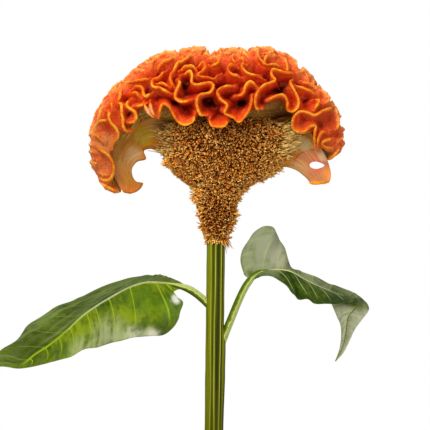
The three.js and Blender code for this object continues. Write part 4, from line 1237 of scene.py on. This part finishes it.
RIGHT_LEAF = {
    "near": [
        [18.5, -0.3, 196.6], [19.6, -0.5, 197.1], [20.7, -0.6, 197.8], [21.9, -0.7, 198.2],
        [23.2, -0.9, 198.8], [24.8, -1.2, 199.1], [26.5, -1.6, 199], [28.8, -2.4, 198.5],
        [32.3, -3.8, 196.2], [36.3, -5.5, 193.3], [39.2, -7, 189.9], [41.5, -8, 187], [45.5, -7.5, 187.1],
        [50, -6, 185.3], [55.5, -3, 185], [61, 1, 184.7], [66.7, 8, 186.1], [69.6, 17, 186.6],
        [58, 33, 188], [60.6, 38.5, 179.5], [62.7, 40.5, 174.5], [63, 41, 167.5], [61.9, 40.5, 161.3],
        [60, 39.2, 156.4]],
    "rib": [
        [17.6, 0, 197], [18.2, 0.1, 197.9], [18.9, 0.1, 198.7], [19.6, 0.2, 199.4], [20.4, 0.2, 200],
        [21.3, 0.3, 200.6], [22.8, 0.4, 201.2], [25.5, 0.8, 201.7], [29, 1.3, 202], [33, 2, 201.9],
        [36, 2.7, 201.5], [39, 3.6, 200.4], [43, 5.5, 198], [48, 8, 195.3], [54, 12, 192.6],
        [60, 16.5, 190.2], [66, 22, 188.2], [71, 30, 186.8], [70.8, 36.5, 184], [66.8, 39.5, 179],
        [65.8, 40.5, 173], [64.8, 40.5, 166.5], [62.8, 40, 160.9], [60.2, 39.2, 156.4]],
    "far": [
        [14.5, 0.5, 199.7], [12.8, 2, 206.5], [13.6, 3, 211.7], [16.8, 4, 216.9], [19.6, 5, 220.9],
        [24.2, 6, 223.8], [28.8, 7, 223.5], [31.1, 8, 219.7], [32.7, 9, 216.5], [35, 9.5, 213.2],
        [36.2, 10, 209.2], [38, 11, 203.4], [42.5, 15, 201.6], [48.5, 20, 199.3], [56.5, 27, 195.4],
        [64, 32, 192.8], [70.5, 36, 190.1], [75, 37.5, 186.6], [77, 38, 182.4], [74, 38, 177.8],
        [70.2, 38.5, 172.6], [67.2, 39, 166.3], [64, 39, 160.3], [60.5, 39, 156.4]],
    "stalk": [
        [2, 0, 162], [5.2, 0, 170.5], [8.2, 0, 178], [12.6, 0, 188.5], [15.3, 0, 193.8], [17.6, 0, 197]],
    "near_veins": [8.4, 10.9, 12.4, 13.6, 14.8, 16, 18.6, 19.7, 20.8],
    "far_veins": [0.8, 6.2, 9.2, 11.6, 13, 14.4, 16, 18.2, 19.4, 20.6],
    "near_lean": 8,
    "far_lean": 2,
    "upper_side": -1,
}


def from_front_view(points):
    """Places behind points that are given as the camera sees them, with their depth."""
    points = np.array(points, float)
    spread = 1 + points[:, 1:2] / CAMERA_DISTANCE
    eye = np.array([0, 0, VIEW_HEIGHT])
    seen = points * [1, 0, 1]
    return eye + (seen - eye) * spread + points * [0, 1, 0]


# %% Blade of a leaf
BLADE_ROWS = 230
BLADE_COLUMNS = 61
BLADE_HALF = 0.3
BLADE_EDGE = 0.08
BLADE_SWELL = 1.5
PUCKER = 0.1

# Height and length of the waves along the edges
RIPPLES = [[0.55, 13], [0.5, 29], [0.25, 7]]


def all_round(there, back):
    """Columns over one side of a blade and back under the other."""
    return np.concatenate([there, back[:, ::-1], there[:, :1]], axis=1)


def add_blade(bm, guides, draw):
    """A leaf blade as one closed sheet, with facts about its veins in millimetres."""
    near, rib, far = (
        smooth_curve(from_front_view(guides[name]), BLADE_ROWS) for name in ("near", "rib", "far"))
    across = np.linspace(-1, 1, BLADE_COLUMNS)[None]
    spread = np.abs(across)
    bulge = np.sin(np.pi * spread)
    is_near = across < 0
    edge = np.where(is_near[..., None], near[:, None], far[:, None])
    middle = rib[:, None] + (edge - rib[:, None]) * spread[..., None]
    width = np.linalg.norm(edge - rib[:, None], axis=2)
    fade = np.minimum(1, width / 10)
    along = np.linspace(0, 1, BLADE_ROWS)[:, None]
    rib_along = length_along(rib)
    station = np.linspace(0, len(guides["rib"]) - 1, BLADE_ROWS)
    phase = 0 * width
    room = 0 * width
    for side, name in ((is_near, "near"), (~is_near, "far")):
        veins = np.interp(guides[name + "_veins"], station, rib_along)
        veins = np.concatenate([[-20, -6], veins, [rib_along[-1] + 4, rib_along[-1] + 20]])
        start = rib_along[:, None] + 1.5 * bulge - guides[name + "_lean"] * spread**0.9
        phase = np.where(side, np.interp(start, veins, np.arange(len(veins))), phase)
        room = np.where(side, np.interp(start, (veins[1:] + veins[:-1]) / 2, np.diff(veins)), room)
    ripple = 0 * width
    for height, size in RIPPLES:
        way = along * 1000 / size
        ripple = ripple + height * np.where(is_near, wander(draw, way, 4), wander(draw, way, 4))
    swell = BLADE_SWELL * bulge * fade + ripple * spread**2 * fade
    pucker = PUCKER * np.minimum(room, 8) * np.abs(np.sin(np.pi * phase)) * bulge * fade
    normal = unit(np.cross(far - near, np.gradient(rib, axis=0)))
    middle = middle - normal[:, None] * (swell - pucker)[..., None]
    facing = unit(np.cross(np.gradient(middle, axis=1), np.gradient(middle, axis=0))) * guides["upper_side"]
    half = (BLADE_HALF * (1 - spread**4) + BLADE_EDGE)[..., None]
    add_sheet(
        bm, all_round(middle + facing * half, middle - facing * half),
        across=all_round(across, across), phase=all_round(phase, phase), room=all_round(room, room),
        width=all_round(width, width), length=along, below=all_round(0 * across, 1 + 0 * across), stalk=0.0)


# %% Stalk of a leaf
STALK_SIDES = 20
STALK_STEP = 1.2
RIB_RADIUS = 0.45


def add_stalk(bm, guides, thick):
    """The round stalk, running on under the blade as its midrib."""
    path = from_front_view(guides["stalk"] + guides["rib"][1:-1])
    middle, along = evenly_spaced(smooth_curve(path, 400), STALK_STEP)
    way = unit(np.gradient(middle, axis=0))
    first = unit(np.cross(way, [0, 1, 0]))
    second = np.cross(way, first)
    turn = np.linspace(0, 2 * np.pi, STALK_SIDES + 1)
    stalk_length = length_along(np.array(guides["stalk"]))[-1]
    free = smoothstep(stalk_length + 14, stalk_length - 2, along)
    ends = np.where((along == 0) | (along == along[-1]), 0.01, 1)
    radius = (RIB_RADIUS + (thick - RIB_RADIUS) * free) * ends * (1 - 0.4 * along / along[-1])
    groove = 1 - 0.16 * free[:, None] * (bell(np.degrees(turn), 60, 22) + bell(np.degrees(turn), 120, 22))
    round_it = first[:, None] * np.cos(turn)[:, None] + second[:, None] * np.sin(turn)[:, None]
    points = middle[:, None] + (radius[:, None] * groove)[..., None] * round_it
    add_sheet(
        bm, points, across=np.sin(turn), phase=np.cos(turn), room=0.0, width=0.0,
        length=(along / along[-1])[:, None], below=0.0, stalk=1.0)


def leaf_mesh(guides, thick, draw):
    bm = start_mesh("across", "phase", "room", "width", "length", "below", "stalk")
    add_blade(bm, guides, draw)
    add_stalk(bm, guides, thick)
    weld(bm)
    turn_outwards(bm)
    return bm


# %% [markdown]
# The colours of a leaf run from dark to pale on its upper side and on the far half of it, which
# has a whitish painted sheen, and on the under side, which also shows where the tip has turned
# over. The side veins lie at whole numbers of the phase, so the distance from a vein comes from
# its fraction. Round the stalk the phase gives painted shade on one side and painted light on the
# other. An image of the veins would have to be very large to look as sharp.

# %% Finish of the leaves
def leaf_finish(name, upper_ramp, far_ramp, under_ramp, vein_colour, tip_start, rib_end, spots):
    leafy = Finish(name)
    across, phase, room, width, length, below, stalk = leafy.facts(
        "across", "phase", "room", "width", "length", "below", "stalk")
    spread = abs(across)
    from_rib = spread * width
    cells = leafy.grain(500, 4)
    between = leafy.noise(leafy.join(phase * 3, from_rib * 0.12), 1)
    tone = cells * 0.2 + leafy.grain(60) * 0.5 + between * 0.3
    far_half = across.band(0, 0.05)
    from_vein = abs((phase + 0.5).math("FRACT") - 0.5) * room
    side_vein = (1 - from_vein.band(0.12, 0.48)) * (1 - spread.band(0.55, 0.95)) * (1 - far_half * 0.5)
    midrib = (1 - from_rib.band(0.25, 0.65)) * (1 - length.band(rib_end, rib_end + 0.04))
    # Painted sheen: whitish bands along the far half
    sheen = leafy.noise(leafy.join(from_rib * 0.3, length * 3), 1).band(0.45, 0.68) * 0.6
    far_side = leafy.mix(sheen, tone.ramp(*far_ramp), linear(*under_ramp[0][1:]))
    upper = leafy.mix(far_half, tone.ramp(*upper_ramp), far_side)
    turned = below.math("MAXIMUM", length.band(tip_start, tip_start + 0.05))
    blade = leafy.mix(turned, upper, tone.ramp(*under_ramp))
    blade = leafy.dab(blade, spots, between.band(0.22, 0.6))
    blade = leafy.mix(side_vein * 0.72, blade, vein_colour)
    rib_colour = length.ramp((0.3, 204, 204, 128), (0.6, 186, 192, 158), (0.75, 130, 152, 10))
    blade = leafy.mix(midrib * 0.9, blade, rib_colour)
    # The stalk's colour runs round it: painted shade on one side, painted light on the other, and a cream
    # line between them
    stalk_colour_and_shade = (phase * -0.5 + cells * 0.6).ramp(
        (0, 66, 88, 0), (0.24, 104, 124, 16), (0.4, 206, 202, 126), (0.48, 140, 156, 62),
        (0.75, 176, 184, 116))
    blade = leafy.mix(stalk, blade, stalk_colour_and_shade)
    leafy.set(Base_Color=blade, Roughness=0.5, Specular_IOR_Level=0.08)
    leafy.bump(cells + between - side_vein.math("MAXIMUM", midrib), 0.0004, 0.5)
    return leafy.material


# %% Colours of both leaves
left_green = leaf_finish(
    "left_leaf_green",
    ((0.4, 50, 68, 0), (0.5, 76, 96, 0), (0.6, 112, 128, 4)),
    ((0.42, 44, 62, 0), (0.58, 82, 98, 24)),
    ((0.42, 112, 126, 74), (0.58, 144, 156, 104)),
    linear(138, 160, 36), 2.0, 0.86,
    # The four pale spots are painted sheen along the lower edge, and the last, near-white one is a painted
    # highlight on the curled base
    ((-52, 169, 14, 0.7, 150, 154, 112), (-40, 170, 7, 0.8, 176, 178, 146),
     (-31, 170, 6, 0.9, 184, 182, 156), (-66, 163, 9, 0.6, 150, 156, 112),
     (-22, 184, 10, 0.45, 70, 104, 0), (-36, 188, 14, 0.5, 70, 104, 0),
     (-92, 160, 16, 0.6, 54, 66, 0), (-19.5, 187.5, 3.5, 1, 206, 206, 190)))
right_green = leaf_finish(
    "right_leaf_green",
    ((0.4, 26, 40, 0), (0.5, 44, 64, 2), (0.6, 78, 96, 18)),
    ((0.42, 72, 84, 36), (0.58, 120, 128, 84)),
    # The pale under colours are made lighter still as painted light, where the turned tip lies in shade
    ((0.42, 148, 158, 106), (0.58, 208, 212, 174)),
    linear(160, 168, 96), 0.77, 2.0,
    # The last, dark spot is a painted shadow at the leaf's right end
    ((25, 212, 17, 0.95, 130, 134, 106), (31, 208, 9, 0.9, 150, 150, 122),
     (30, 220, 9, 0.8, 138, 142, 112), (76, 186, 4.5, 1, 60, 76, 16)))
left_bm = leaf_mesh(LEFT_LEAF, 2.0, np.random.default_rng(21))
right_bm = leaf_mesh(RIGHT_LEAF, 2.05, np.random.default_rng(22))
finish_piece("leaf_left_fine", left_bm, left_green, ["leaf_left"])
finish_piece("leaf_right_fine", right_bm, right_green, ["leaf_right"])

# %% [markdown]
# ## Soil
# The soil's top is a shallow mound with lumps. Its rows go from the pot's floor up the wall and
# then to the middle, and loose crumbs of many sizes lie half sunk in it. Bump could roughen a
# flat disc, but only real crumbs stand out where it is seen from the side.

# %% Soil
POT_FLOOR = 7
POT_HEIGHT = 112
FLOOR_INSIDE = 40.5
RIM_INSIDE = 56.5
SOIL_ROOM = 0.5
SOIL_SIDES = 120
SOIL_RINGS = 40
MOUND = 1.5
LUMP_HEIGHT = 0.5
CRUMBS = 700
CRUMB_RADIUS = (0.5, 1.7)
soil_draw = np.random.default_rng(8)


def inner_wall(height):
    return FLOOR_INSIDE + (RIM_INSIDE - FLOOR_INSIDE) * (height - POT_FLOOR) / (POT_HEIGHT - 2 - POT_FLOOR)


soil_bm = start_mesh("crumb")
turn = np.linspace(0, 2 * np.pi, SOIL_SIDES + 1)
rings = np.concatenate([[1.0, 1.0], np.linspace(1, 0, SOIL_RINGS)[1:]])[:, None]
radius = rings * (inner_wall(SOIL_LEVEL) - SOIL_ROOM)
height = SOIL_LEVEL + MOUND * (1 - rings**2)
lumps = soil_draw.normal(0, LUMP_HEIGHT, (len(rings), SOIL_SIDES))
lumps[:2] = 0
lumps[-1] = 0
lumps = np.concatenate([lumps, lumps[:, :1]], axis=1)
soil_points = points_from(radius * np.cos(turn), radius * np.sin(turn), height + lumps)
foot = inner_wall(POT_FLOOR) - SOIL_ROOM
soil_points[0] = points_from(foot * np.cos(turn), foot * np.sin(turn), POT_FLOOR + 0.3)
add_sheet(soil_bm, soil_points, crumb=0.0)
weld(soil_bm, fill=True)

# %% Crumbs
crumb_layer = soil_bm.verts.layers.float["crumb"]
for crumb in range(CRUMBS):
    distance = (inner_wall(SOIL_LEVEL) - 2.5) * math.sqrt(soil_draw.uniform(0.012, 1))
    bearing = soil_draw.uniform(0, 2 * math.pi)
    grain = soil_draw.uniform(*CRUMB_RADIUS)
    made = bmesh.ops.create_icosphere(soil_bm, subdivisions=1, radius=grain * MM)
    top = SOIL_LEVEL + MOUND * (1 - (distance / 54) ** 2) + 0.3
    centre = np.array([distance * math.cos(bearing), distance * math.sin(bearing), top])
    for corner in made["verts"]:
        push = np.array(corner.co) * soil_draw.uniform(0.7, 1.2)
        corner.co = push + centre * MM
        corner[crumb_layer] = soil_draw.uniform(0.3, 1)
turn_outwards(soil_bm)

# %% [markdown]
# Potting soil is dark brown and dull, with paler grains. The colour and the bump could have a
# noise each, but they share one here, so that the raised grains are also the pale ones.

# %% Finish of the soil
earth = Finish("potting_soil")
[crumb] = earth.facts("crumb")
grain = earth.grain(500, 6.0, 0.7)
brown = (grain + crumb * 0.12).ramp((0.35, 28, 18, 12), (0.55, 62, 42, 28), (0.75, 104, 76, 52))
earth.set(Base_Color=brown, Roughness=0.95)
earth.bump(grain, 0.0012)
finish_piece("soil_fine", soil_bm, earth.material, ["soil"])

# %% [markdown]
# ## Pot
# A thrown clay pot is the same all round, so its profile is drawn once and spun about the upright
# axis. Its floor has rings of corners where the three drainage holes are cut afterwards.

# %% Pot
POT_SIDES = 120

# Radius and height of the profile, from the middle of the underside, over the rim, to the floor
POT_PROFILE = [
    (0, 0), (14, 0), (18, 0), (20, 0), (22, 0), (24, 0), (26, 0), (28, 0), (32, 0), (43, 0), (44.6, 0.5),
    (45.1, 1.6), (60.6, 86.6), (61.6, 87.6), (64.6, 88), (65.7, 89), (66, 90.5), (66, 109), (65.4, 111.2),
    (63.6, 112), (58.6, 112), (57, 111.4), (56.4, 110), (41.6, 11), (40.2, 8), (38, 7), (32, 7), (28, 7),
    (26, 7), (24, 7), (22, 7), (20, 7), (18, 7), (14, 7), (0, 7),
]
pot_bm = bmesh.new()
profile = [pot_bm.verts.new((radius * MM, 0, height * MM)) for radius, height in POT_PROFILE]
outline = profile + [pot_bm.edges.new(pair) for pair in zip(profile, profile[1:])]
full_turn = {"cent": (0, 0, 0), "axis": (0, 0, 1), "angle": 2 * math.pi, "use_merge": True}
bmesh.ops.spin(pot_bm, geom=outline, steps=POT_SIDES, **full_turn)
weld(pot_bm)
print("faces of the pot:", len(pot_bm.faces))

# %% Drainage holes
DRAINS = 3
DRAIN_RADIUS = 5
DRAIN_RING = 23
for drain in range(DRAINS):
    bearing = 2 * math.pi * drain / DRAINS + math.pi / 2
    centre = DRAIN_RING * MM * Vector((math.cos(bearing), math.sin(bearing)))
    bored = [face for face in pot_bm.faces
             if (face.calc_center_median().xy - centre).length < DRAIN_RADIUS * MM
             and face.calc_center_median().z < (POT_FLOOR + 1) * MM]
    bmesh.ops.delete(pot_bm, geom=bored, context="FACES")
    rim_edges = boundary(pot_bm)
    for corner in {corner for edge in rim_edges for corner in edge.verts}:
        corner.co.xy = centre + (corner.co.xy - centre).normalized() * DRAIN_RADIUS * MM
    bmesh.ops.bridge_loops(pot_bm, edges=rim_edges)
turn_outwards(pot_bm)

# %% [markdown]
# Fired clay is dull and a little mottled, with fine grit and faint rings from the wheel. Broad
# noise mottles the colour and fine noise is the grit. The rings could be modelled, but they are
# so shallow that noise squeezed along the height is enough, and only the bump shows it.

# %% Finish of the pot
clay = Finish("fired_clay")
turning = clay.noise(clay.scaled(30, 30, 700), 1)
grit = clay.grain(1400, 2)
terracotta = (clay.grain(22, 4) * 0.7 + grit * 0.3).ramp(
    (0.3, 150, 78, 46), (0.5, 186, 104, 64), (0.7, 206, 134, 96))
clay.set(Base_Color=terracotta, Roughness=0.85)
clay.bump(turning * 0.6 + grit, 0.0004, 0.5)
finish_piece("pot_fired", pot_bm, clay.material, ["pot"])

# %% [markdown]
# ## Floor finish
# The floor is a plain pale surface.

# %% Floor finish
paper = Finish("pale_floor")
paper.set(Base_Color=(0.86, 0.86, 0.86, 1), Roughness=0.6)
floor_mesh.materials.append(paper.material)
